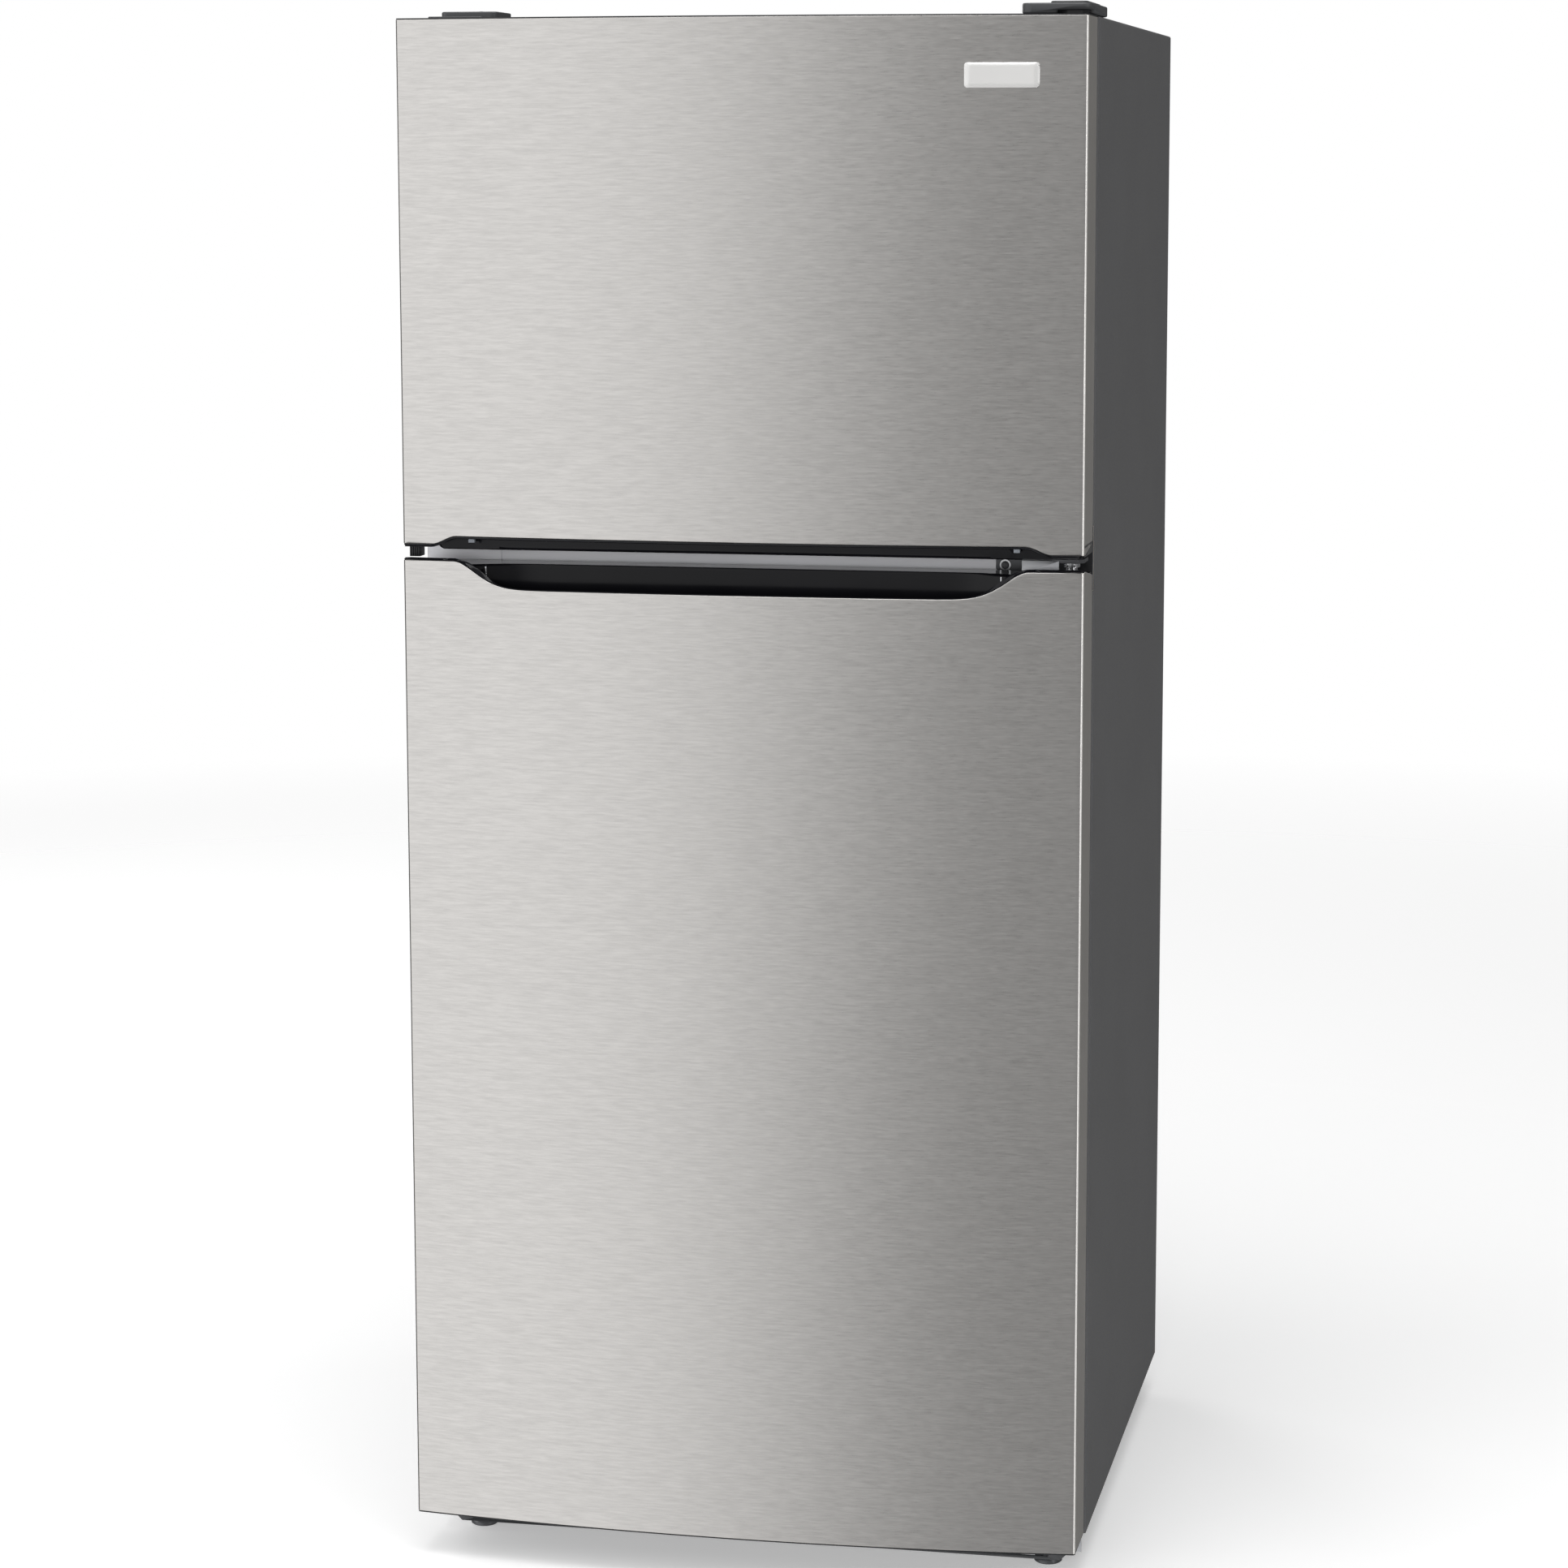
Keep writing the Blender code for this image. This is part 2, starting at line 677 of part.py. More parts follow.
def rear_and_machine():
    slots = [
        rectangle(x, 0.085 + 0.030 * i, x + 0.120, 0.093 + 0.030 * i)
        for x in (-0.345, -0.205, 0.070, 0.210)
        for i in range(6)
    ]
    prism(
        "machine_cover",
        "Y",
        rectangle(-0.374, 0.050, 0.374, 0.297),
        REAR_SHEET_FRONT,
        REAR_SHEET_BACK,
        ZINC,
        [*slots, circle(-0.030, 0.140, 0.0083, 20)],
    )
    inlet = cylinder("power_inlet", (-0.030, 0.390, 0.140), (-0.030, 0.4085, 0.140), 0.008, BLACK_STEEL, 20)
    join(inlet, cylinder("inlet_collar", (-0.030, 0.4053, 0.140), (-0.030, 0.4072, 0.140), 0.014, sides=20))
    compressor()
    coil = tube(
        "condenser_coil",
        serpentine(0.075, 0.315, condenser_rows(), 0.022),
        0.0045,
        BLACK_STEEL,
    )
    coil.data.bevel_resolution = 1
    shroud = prism(
        "condenser_fan_shroud",
        "X",
        rectangle(0.180, 0.050, 0.390, 0.290),
        0.000,
        0.004,
        BLACK_STEEL,
        [circle(MACHINE_MIDDLE_Y, FAN_Z, 0.088, 32)],
    )
    join(
        shroud,
        box("shroud_bar", (0.000, 0.190, FAN_Z - 0.006), (0.004, 0.380, FAN_Z + 0.006)),
        cylinder(
            "fan_motor", (-0.030, MACHINE_MIDDLE_Y, FAN_Z), (0.0035, MACHINE_MIDDLE_Y, FAN_Z), 0.026, sides=24
        ),
    )
    fan_start = Vector((0.0065, MACHINE_MIDDLE_Y, FAN_Z))
    fan = blades("condenser_fan", fan_start, "X", 0.080, 0.018)
    on_axis("condenser_fan_axis", fan_start, fan)
    pan = box("drain_pan", (-0.330, 0.180, 0.262), (-0.060, 0.392, 0.290), DARK_PLASTIC)
    cut(pan, box("pan_inside", (-0.3275, 0.1825, 0.2645), (-0.0625, 0.3895, 0.30)))


def condenser_rows():
    """The condenser's rows as (y, z): up the first layer, down the second and up the third."""
    levels = [0.085, 0.135, 0.185, 0.235]
    layers = (0.215, MACHINE_MIDDLE_Y, 0.355)
    return [(y, z) for i, y in enumerate(layers) for z in (levels[::-1] if i % 2 else levels)]


def compressor():
    """A domed steel can, turned, on a mounting plate."""
    centre = (-0.190, MACHINE_MIDDLE_Y)
    dome = [(0.0, 0.245), (0.040, 0.240), (0.068, 0.222), (0.078, 0.198)]
    profile = [*dome, (0.078, 0.108), (0.068, 0.078), (0.0, 0.066)]
    mesh = bpy.data.meshes.new("compressor")
    shape = bmesh.new()
    line = [shape.verts.new((r, 0.0, z)) for r, z in profile]
    for a, b in zip(line, line[1:]):
        shape.edges.new((a, b))
    shape.to_mesh(mesh)
    shape.free()
    can = add_object("compressor", mesh, BLACK_STEEL)
    can.location = (*centre, 0.0)
    turning = can.modifiers.new("turned", "SCREW")
    turning.steps = turning.render_steps = 28
    turning.use_merge_vertices = True
    turning.merge_threshold = 0.0001
    bpy.context.view_layer.update()
    join(can, box("compressor_plate", (-0.275, 0.205, 0.060), (-0.105, 0.365, 0.070)))
    for x in (-0.262, -0.118):
        for y in (0.218, 0.352):
            join(can, cylinder("grommet", (x, y, 0.0467), (x, y, 0.062), 0.010, sides=12))


def blades(name, hub_start, axis, radius, depth):
    """A fan: a hub and five twisted blades, on an axis through hub_start."""
    direction = {"X": Vector((1, 0, 0)), "Y": Vector((0, 1, 0))}[axis]
    fan = cylinder(name, hub_start, hub_start + direction * depth, 0.018, DARK_PLASTIC, 20)
    side = Vector((0, 0, 1))
    middle = hub_start + direction * depth / 2
    for i in range(5):
        blade = box(name + "_blade", (-0.0008, -0.020, 0.012), (0.0008, 0.020, radius))
        turn = Matrix.Rotation(2 * math.pi * i / 5, 4, direction)
        face = Matrix.Identity(4) if axis == "X" else Matrix.Rotation(math.radians(90), 4, side)
        pitch = Matrix.Rotation(math.radians(20), 4, side)
        blade.data.transform(Matrix.Translation(middle) @ turn @ face @ pitch)
        join(fan, blade)
    return fan


def freezer_inside():
    rows = [(0.330 - 0.030 * (i % 2), 1.225 + 0.036 * (i // 2)) for i in range(12)]
    tube("evaporator_coil", serpentine(-0.240, 0.240, rows, 0.014), 0.004, COPPER)
    slots = [
        rounded(x, 1.212, x + 0.050, 1.218, 0.0029, 2)
        for x in (-0.270, -0.190, -0.110, 0.060, 0.140, 0.220)
    ]
    openings = [
        rounded(-0.055, 1.536 + 0.018 * i, 0.055, 1.546 + 0.018 * i, 0.0045, 2) for i in range(5)
    ]
    prism(
        "evaporator_cover",
        "Y",
        rounded(-0.317, 1.1965, 0.317, 1.687, 0.004),
        0.280,
        0.283,
        WHITE_PLASTIC,
        slots + openings,
    )
    fan_start = Vector((0.0, 0.290, 1.577))
    fan = blades("evaporator_fan", fan_start, "Y", 0.050, 0.018)
    on_axis("evaporator_fan_axis", fan_start, fan)
    windows = [
        rectangle(-0.312 + 0.157 * i, y0, -0.165 + 0.157 * i, y0 + 0.125)
        for i in range(4)
        for y0 in (-0.128, 0.005, 0.138)
    ]
    prism(
        "freezer_shelf",
        "Z",
        rounded(-0.3185, -0.136, 0.3185, 0.271, 0.010),
        1.4503,
        1.4583,
        WHITE_PLASTIC,
        windows,
    )


def fresh_inside():
    box("control_housing", (-0.150, -0.180, 1.078), (0.150, 0.020, FRESH_CEILING - GAP), WHITE_PLASTIC, 0.004)
    box("light_lens", (-0.090, -0.150, 1.068), (0.050, -0.050, 1.0776), CLEAR_PLASTIC, 0.003)
    knob_back = Vector((0.105, -0.1805, 1.098))
    knob_front = knob_back + Vector((0, -0.0075, 0))
    knob = cylinder("temperature_knob", knob_back, knob_front, 0.0165, WHITE_PLASTIC, 28)
    join(knob, box("knob_grip", (0.102, -0.196, 1.084), (0.108, -0.187, 1.112)))
    on_axis("knob_axis", knob_back, knob)
    plunger = cylinder(
        "light_switch_plunger", (-0.250, -0.2617, 1.104), (-0.250, -0.230, 1.104), 0.004, WHITE_PLASTIC, 16
    )
    on_axis("switch_axis", (-0.250, -0.2617, 1.104), plunger)
    for name, level in (("glass_shelf_upper", 0.8357), ("glass_shelf_lower", 0.6157)):
        box(name, (-0.3305, -0.165, level), (0.3305, 0.330, level + 0.012), GLASS, 0.001)
    box("crisper_cover", (-0.3305, -0.172, 0.3477), (0.3305, 0.345, 0.3607), GLASS, 0.001)
    for name, side in (("left", -1), ("right", 1)):
        near, far = side * 0.004, side * 0.318
        low, high = min(near, far), max(near, far)
        drawer = tray("crisper_" + name, (low, -0.170, 0.104), (high, 0.090, 0.334), 0.003, CLEAR_PLASTIC)
        join(drawer, box("drawer_front", (low, -0.176, 0.104), (high, -0.167, 0.334), bevel=0.002))
        middle = (low + high) / 2
        join(drawer, box("drawer_pull", (middle - 0.060, -0.190, 0.296), (middle + 0.060, -0.175, 0.304)))
        cut(drawer, box("slider_slot", (middle - 0.045, -0.20, 0.3138), (middle + 0.045, -0.1722, 0.3262)))
        slider = box(
            "humidity_slider_" + name,
            (middle - 0.0435, -0.180, 0.3144),
            (middle - 0.0165, -0.1727, 0.3256),
            DARK_PLASTIC,
            0.001,
        )
        place = (middle, -0.176, 0.30)
        runner = on_axis("crisper_runner_" + name, place, drawer)
        keep_in_place(on_axis("slider_track_" + name, (middle - 0.030, -0.176, 0.32), slider), runner)


def tray(name, low, high, wall, finish, front_drop=0.0):
    """An open-topped box. front_drop lowers the wall on its +Y side."""
    made = box(name, low, high, finish, 0.002)
    inside_low = [a + wall for a in low]
    inside_high = [high[0] - wall, high[1] - wall, high[2] + 0.05]
    cut(made, box(name + "_inside", inside_low, inside_high))
    if front_drop:
        cut(
            made,
            box(
                name + "_drop",
                (low[0] + 0.02, high[1] - wall - 0.01, high[2] - front_drop),
                (high[0] - 0.02, high[1] + 0.01, high[2] + 0.05),
            ),
        )
    return made


# ---- doors ----
def pin_hole(name, low, high, radius=PIN_RADIUS + 0.0006):
    """A cutter round the doors' pivot line."""
    return cylinder(name, (HINGE_X, HINGE_Y, low), (HINGE_X, HINGE_Y, high), radius, sides=16)


def door_liner(name, bottom, top, dam_outer, dam_bottom, dam_top):
    """The white inner panel: a flat sheet at the door's back with a raised dam round its middle."""
    panel = box(
        name,
        (-0.3792, DOOR_BACK - LINER, bottom),
        (0.3792, DOOR_BACK, top),
        WHITE_PLASTIC,
    )
    dam = prism(
        name + "_dam",
        "Y",
        rounded(-dam_outer, dam_bottom, dam_outer, dam_top, 0.012),
        DOOR_BACK - 0.001,
        -0.262,
        holes=[rounded(-dam_outer + 0.018, dam_bottom + 0.018, dam_outer - 0.018, dam_top - 0.018, 0.008)],
    )
    return join(panel, dam)


def gasket(name, bottom, top):
    return prism(
        name,
        "Y",
        rounded(-0.361, bottom, 0.361, top, 0.006),
        DOOR_BACK + GAP,
        CABINET_FRONT - GAP,
        GASKET_GREY,
        [rounded(-0.338, bottom + 0.018, 0.338, top - 0.018, 0.004)],
    )


def freezer_door():
    skin_bottom = FREEZER_DOOR_BOTTOM + CAP_EDGE + GAP
    skin_top = FREEZER_DOOR_TOP - CAP_EDGE - GAP
    skin = prism("freezer_door_skin", "Z", skin_section(), skin_bottom, skin_top, STAINLESS)
    cut(skin, prism("freezer_skin_lip", "Y", recess_outline(skin_bottom), -0.43, -0.37))

    cap = prism(
        "freezer_top_cap",
        "Z",
        section(GAP, DOOR_BACK),
        FREEZER_DOOR_TOP - CAP_EDGE,
        FREEZER_DOOR_TOP,
        DARK_PLASTIC,
    )
    join(cap, prism("cap_plug", "Z", section(SKIN + GAP, DOOR_BACK - LINER - GAP), 1.740, 1.7432))
    cut(cap, pin_hole("cap_hole", 1.70, 1.76))

    trim = prism(
        "freezer_handle_trim",
        "Z",
        section(GAP, DOOR_BACK),
        FREEZER_DOOR_BOTTOM,
        FREEZER_DOOR_BOTTOM + CAP_EDGE,
        BLACK_GLOSS,
    )
    join(
        trim,
        prism("trim_plug", "Z", section(SKIN + GAP, DOOR_BACK - LINER - GAP), 1.1685, 1.172),
        prism("trim_block", "Z", section(SKIN + GAP, -0.334, 0.352), 1.1685, 1.214),
        box("trim_hang", (-0.296, RECESS_BACK, 1.1625), (0.296, -0.334, 1.170)),
        box("trim_bumper", (-0.379, -0.371, 1.1530), (-0.362, -0.351, 1.1695)),
    )
    cut(
        trim,
        prism("trim_lip", "Y", recess_outline(FREEZER_DOOR_BOTTOM + 0.0002), -0.43, RECESS_BACK),
        prism("finger_recess", "Y", rounded(-0.285, 1.140, 0.285, 1.208, 0.024, 5), -0.396, RECESS_BACK),
        pin_hole("trim_hole", 1.16, 1.23),
    )

    foam = prism(
        "freezer_door_insulation",
        "Z",
        section(SKIN + GAP, DOOR_BACK - LINER - GAP),
        1.1723,
        1.7397,
        FOAM,
    )
    cut(
        foam,
        box("foam_trim_space", (-0.3512, -0.43, 1.15), (0.3512, -0.3337, 1.2143)),
        pin_hole("foam_hole_bottom", 1.16, 1.21, 0.007),
        pin_hole("foam_hole_top", 1.70, 1.76, 0.007),
    )
    inner = door_liner("freezer_door_liner", 1.1716, 1.7426, 0.306, 1.208, 1.680)
    seal = gasket("freezer_gasket", 1.174, 1.734)
    racks = []
    for name, level in (("lower", 1.262), ("upper", 1.462)):
        racks.append(
            tray(
                "freezer_rack_" + name,
                (-0.2875, DOOR_BACK + GAP, level),
                (0.2875, -0.236, level + 0.070),
                0.0025,
                WHITE_PLASTIC,
            )
        )
    badge = badge_plate()
    on_axis("freezer_door_hinge", (HINGE_X, HINGE_Y, 1.45), skin, cap, trim, foam, inner, seal, badge, *racks)


def badge_plate():
    """A blank plate that follows the bow of the door front."""
    x0, x1, steps = 0.250, 0.330, 6
    columns = [x0 + (x1 - x0) * i / steps for i in range(steps + 1)]
    front = [(x, front_y(x) - 0.0018) for x in columns]
    back = [(x, y + 0.0015) for x, y in reversed(front)]
    plate = prism("badge", "Z", front + back, 1.6668, 1.6933, BADGE_METAL)
    corners = prism(
        "badge_corners",
        "Y",
        rectangle(0.24, 1.65, 0.34, 1.71),
        -0.43,
        -0.38,
        holes=[rounded(x0, 1.6668, x1, 1.6933, 0.003)],
    )
    return cut(plate, corners)


def fresh_door():
    skin_top = FRESH_DOOR_TOP - CAP_EDGE - GAP
    skin_bottom = FRESH_DOOR_BOTTOM + CAP_EDGE + GAP
    skin = prism("fresh_food_door_skin", "Z", skin_section(), skin_bottom, skin_top, STAINLESS)
    cut(skin, prism("fresh_skin_lip", "Y", pocket_outline(skin_top), -0.43, -0.37))

    pocket = prism(
        "fresh_food_handle_pocket",
        "Z",
        section(GAP, DOOR_BACK),
        FRESH_DOOR_TOP - CAP_EDGE,
        FRESH_DOOR_TOP,
        BLACK_GLOSS,
    )
    trough = [(-0.250, 1.160), (-0.222, 1.108), (-0.196, 1.092), (0.196, 1.092), (0.222, 1.108), (0.250, 1.160)]
    join(
        pocket,
        prism("pocket_plug", "Z", section(SKIN + GAP, DOOR_BACK - LINER - GAP), 1.1395, 1.1515),
        prism("pocket_block", "Z", section(SKIN + GAP, -0.334, 0.332), 1.084, 1.150),
    )
    cut(
        pocket,
        prism("pocket_mouth", "Y", pocket_outline(FRESH_DOOR_TOP - 0.0004), -0.43, POCKET_BACK),
        prism("pocket_trough", "Y", trough, -0.392, POCKET_BACK),
        box("low_back", (-0.3766, -0.374, 1.1452), (0.3766, -0.30, 1.16)),
        pin_hole("pocket_hole", 1.10, 1.16),
    )

    cap = prism(
        "fresh_food_bottom_cap",
        "Z",
        section(GAP, DOOR_BACK),
        FRESH_DOOR_BOTTOM,
        FRESH_DOOR_BOTTOM + CAP_EDGE,
        DARK_PLASTIC,
    )
    join(cap, prism("bottom_plug", "Z", section(SKIN + GAP, DOOR_BACK - LINER - GAP), 0.0505, 0.054))
    cut(cap, pin_hole("bottom_cap_hole", 0.04, 0.06))

    foam = prism(
        "fresh_food_door_insulation",
        "Z",
        section(SKIN + GAP, DOOR_BACK - LINER - GAP),
        0.0543,
        1.1392,
        FOAM,
    )
    cut(
        foam,
        box("foam_pocket_space", (-0.3312, -0.43, 1.0837), (0.3312, -0.3337, 1.17)),
        pin_hole("fresh_foam_hole_top", 1.11, 1.16, 0.007),
        pin_hole("fresh_foam_hole_bottom", 0.04, 0.09, 0.007),
    )
    inner = door_liner("fresh_food_door_liner", 0.0536, 1.1450, 0.318, 0.114, 1.108)
    seal = gasket("fresh_food_gasket", 0.066, 1.1415)
    bins = []
    for name, x0, x1, level, height in (
        ("upper", -0.298, -0.006, 0.850, 0.095),
        ("middle", -0.298, 0.298, 0.520, 0.110),
        ("lower", -0.298, 0.298, 0.150, 0.130),
    ):
        bins.append(
            tray(
                "door_bin_" + name,
                (x0, DOOR_BACK + GAP, level),
                (x1, -0.226, level + height),
                0.003,
                CLEAR_PLASTIC,
                0.02,
            )
        )
    dairy = tray("dairy_box", (0.006, DOOR_BACK + GAP, 0.850), (0.298, -0.228, 0.945), 0.003, WHITE_PLASTIC)
    lid = box("dairy_lid", (0.008, -0.311, 0.9456), (0.296, -0.2245, 0.9486), CLEAR_PLASTIC)
    join(
        lid,
        box("lid_front", (0.010, -0.2270, 0.900), (0.294, -0.2247, 0.9480)),
        cylinder("lid_pivot", (0.009, -0.309, 0.9490), (0.295, -0.309, 0.9490), 0.0026, sides=16),
    )
    door = on_axis(
        "fresh_food_door_hinge", (HINGE_X, HINGE_Y, 0.60), skin, pocket, cap, foam, inner, seal, dairy
    )
    for piece in bins:
        keep_in_place(on_axis(piece.name + "_hook", (piece_middle(piece), DOOR_BACK, 0.0), piece), door)
    keep_in_place(on_axis("dairy_lid_hinge", (0.152, -0.309, 0.9490), lid), door)


def piece_middle(piece):
    return sum(corner[0] for corner in piece.bound_box) / 8


cabinet()
liners()
cabinet_foam()
base()
feet()
toe_grille()
hinges()
top_covers()
rear_and_machine()
freezer_inside()
fresh_inside()
freezer_door()
fresh_door()
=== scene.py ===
"""The looks of the top freezer refrigerator: finishes and detailed pieces on the CAD frame, in metres."""

import math

import bmesh
import bpy
from mathutils import Matrix, Vector


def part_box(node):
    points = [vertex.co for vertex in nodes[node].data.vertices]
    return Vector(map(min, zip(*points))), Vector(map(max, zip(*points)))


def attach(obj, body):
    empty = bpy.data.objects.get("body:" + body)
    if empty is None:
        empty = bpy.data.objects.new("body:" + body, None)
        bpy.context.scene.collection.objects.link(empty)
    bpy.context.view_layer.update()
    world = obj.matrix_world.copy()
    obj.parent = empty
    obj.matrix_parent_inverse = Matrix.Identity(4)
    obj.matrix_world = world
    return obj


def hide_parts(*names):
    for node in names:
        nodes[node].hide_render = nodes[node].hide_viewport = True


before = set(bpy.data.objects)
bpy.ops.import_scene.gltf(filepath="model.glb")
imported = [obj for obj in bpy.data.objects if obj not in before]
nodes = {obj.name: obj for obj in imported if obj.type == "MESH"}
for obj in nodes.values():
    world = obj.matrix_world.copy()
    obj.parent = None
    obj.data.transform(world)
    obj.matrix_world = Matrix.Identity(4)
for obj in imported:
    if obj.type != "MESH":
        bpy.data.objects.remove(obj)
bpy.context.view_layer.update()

# ---- driving values, read from the frame where it holds them ----
HALF_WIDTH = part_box("cabinet_wrapper")[1].x
DOOR_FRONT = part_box("freezer_door_skin")[0].y
DOOR_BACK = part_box("freezer_door_skin")[1].y
FRESH_STEEL_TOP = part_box("fresh_food_door_skin")[1].z
FREEZER_STEEL_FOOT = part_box("freezer_door_skin")[0].z
BOW_RADIUS = 3.208
DOOR_CORNER = 0.003
SKIN = 0.0012
GAP = 0.0003
HINGE_X = 0.362
HINGE_Y = -0.341
POCKET_OUTER, POCKET_INNER, POCKET_DEPTH = 0.322, 0.212, 0.0304
RECESS_OUTER, RECESS_INNER, RECESS_DEPTH = 0.347, 0.318, 0.0093
POCKET_BACK = -0.352
RECESS_BACK = -0.362
SIDE_CUT = 0.0085  # the doors' facing corners are cut back at the sides
SIDE_CUT_FRONT = -0.3715
SIDE_CUT_START = 0.3690


# ---- finishes ----
def new_finish(name, color, roughness, metallic=0.0, **sockets):
    """A Principled material. Values that are the same all over go straight on the shader's sockets."""
    made = bpy.data.materials.new(name)
    made.use_nodes = True
    shader = made.node_tree.nodes["Principled BSDF"]
    shader.inputs["Base Color"].default_value = (*color, 1.0)
    shader.inputs["Roughness"].default_value = roughness
    shader.inputs["Metallic"].default_value = metallic
    for socket, value in sockets.items():
        shader.inputs[socket.replace("_", " ")].default_value = value
    made.diffuse_color = (*color, 1.0)
    return made


def noise(tree, scale, grain=(1.0, 1.0, 1.0), detail=3.0):
    """A noise pattern fixed to the piece. A small number in grain makes it long in that direction."""
    place = tree.nodes.new("ShaderNodeTexCoord")
    stretch = tree.nodes.new("ShaderNodeMapping")
    stretch.inputs["Scale"].default_value = grain
    pattern = tree.nodes.new("ShaderNodeTexNoise")
    pattern.inputs["Scale"].default_value = scale
    pattern.inputs["Detail"].default_value = detail
    tree.links.new(place.outputs["Object"], stretch.inputs["Vector"])
    tree.links.new(stretch.outputs["Vector"], pattern.inputs["Vector"])
    return pattern.outputs["Fac"]


def between(tree, value, low, high, start=0.3, end=0.7):
    """Maps a pattern's start to end onto low to high."""
    spread = tree.nodes.new("ShaderNodeMapRange")
    spread.inputs["From Min"].default_value = start
    spread.inputs["From Max"].default_value = end
    spread.inputs["To Min"].default_value = low
    spread.inputs["To Max"].default_value = high
    tree.links.new(value, spread.inputs["Value"])
    return spread.outputs["Result"]


def blend_colors(tree, share, first, second):
    mix = tree.nodes.new("ShaderNodeMix")
    mix.data_type = "RGBA"
    mix.inputs["A"].default_value = (*first, 1.0)
    mix.inputs["B"].default_value = (*second, 1.0)
    tree.links.new(share, mix.inputs["Factor"])
    return mix.outputs["Result"]


def color_spread(made, pattern, amount, start=0.3, end=0.7):
    """Varies the base colour by amount either way."""
    tree = made.node_tree
    base = tuple(tree.nodes["Principled BSDF"].inputs["Base Color"].default_value)[:3]
    dark = tuple(c * (1 - amount) for c in base)
    light = tuple(min(c * (1 + amount), 1.0) for c in base)
    share = between(tree, pattern, 0.0, 1.0, start, end)
    tree.links.new(blend_colors(tree, share, dark, light), tree.nodes["Principled BSDF"].inputs["Base Color"])


def roughness_spread(made, pattern, low, high):
    tree = made.node_tree
    tree.links.new(between(tree, pattern, low, high), tree.nodes["Principled BSDF"].inputs["Roughness"])


def bump(made, pattern, depth, strength=1.0):
    tree = made.node_tree
    node = tree.nodes.new("ShaderNodeBump")
    node.inputs["Distance"].default_value = depth
    node.inputs["Strength"].default_value = strength
    tree.links.new(pattern, node.inputs["Height"])
    tree.links.new(node.outputs["Normal"], tree.nodes["Principled BSDF"].inputs["Normal"])


def textured(
    name, color, roughness, grain_size, depth, spread=0.05, metallic=0.0, stretch=(1, 1, 1), **sockets
):
    """A finish whose colour, roughness and bump all follow a fine grain of about grain_size metres."""
    made = new_finish(name, color, roughness, metallic, **sockets)
    grain = noise(made.node_tree, 1.0 / grain_size, stretch)
    cloud = noise(made.node_tree, 9.0, detail=2.0)
    color_spread(made, cloud, spread)
    roughness_spread(made, grain, roughness * 0.88, roughness * 1.12)
    bump(made, grain, depth)
    return made


def brushed_steel():
    """Stainless steel brushed from side to side: fine streaks across, a soft glow up and down."""
    made = new_finish(
        "brushed_stainless", (0.60, 0.588, 0.568), 0.30, 1.0, Anisotropic=0.55, Anisotropic_Rotation=0.25
    )
    tree = made.node_tree
    shader = tree.nodes["Principled BSDF"]
    streaks = noise(tree, 1.0, (85.0, 85.0, 1000.0), 4.0)
    long_streaks = noise(tree, 1.0, (34.0, 34.0, 420.0), 2.0)
    add = tree.nodes.new("ShaderNodeMath")
    add.operation = "ADD"
    tree.links.new(streaks, add.inputs[0])
    tree.links.new(long_streaks, add.inputs[1])
    share = between(tree, add.outputs[0], 0.0, 1.0, 0.7, 1.3)
    tree.links.new(
        blend_colors(tree, share, (0.540, 0.527, 0.512), (0.650, 0.634, 0.616)), shader.inputs["Base Color"]
    )
    tree.links.new(between(tree, streaks, 0.27, 0.34), shader.inputs["Roughness"])
    bump(made, streaks, 0.000003)
    tangent = tree.nodes.new("ShaderNodeTangent")
    tangent.direction_type = "RADIAL"
    tangent.axis = "Z"
    tree.links.new(tangent.outputs["Tangent"], shader.inputs["Tangent"])
    return made


def galvanised():
    """Zinc plate with its faint spangle."""
    made = new_finish("zinc_plated_steel", (0.56, 0.57, 0.59), 0.40, 0.55)
    tree = made.node_tree
    place = tree.nodes.new("ShaderNodeTexCoord")
    spangle = tree.nodes.new("ShaderNodeTexVoronoi")
    spangle.inputs["Scale"].default_value = 85.0
    tree.links.new(place.outputs["Object"], spangle.inputs["Vector"])
    gray = tree.nodes.new("ShaderNodeRGBToBW")
    tree.links.new(spangle.outputs["Color"], gray.inputs["Color"])
    color_spread(made, gray.outputs["Val"], 0.05, 0.0, 1.0)
    roughness_spread(made, gray.outputs["Val"], 0.36, 0.43)
    bump(made, noise(tree, 260.0), 0.00003)
    return made


def see_through(name, color, roughness, face_on, edge_on, **sockets):
    """Clear plastic or glass: more of it shows where the surface turns away."""
    made = new_finish(name, color, roughness, **sockets)
    tree = made.node_tree
    weight = tree.nodes.new("ShaderNodeLayerWeight")
    weight.inputs["Blend"].default_value = 0.35
    tree.links.new(
        between(tree, weight.outputs["Facing"], face_on, edge_on, 0.0, 1.0),
        tree.nodes["Principled BSDF"].inputs["Alpha"],
    )
    color_spread(made, noise(tree, 12.0), 0.03)
    return made


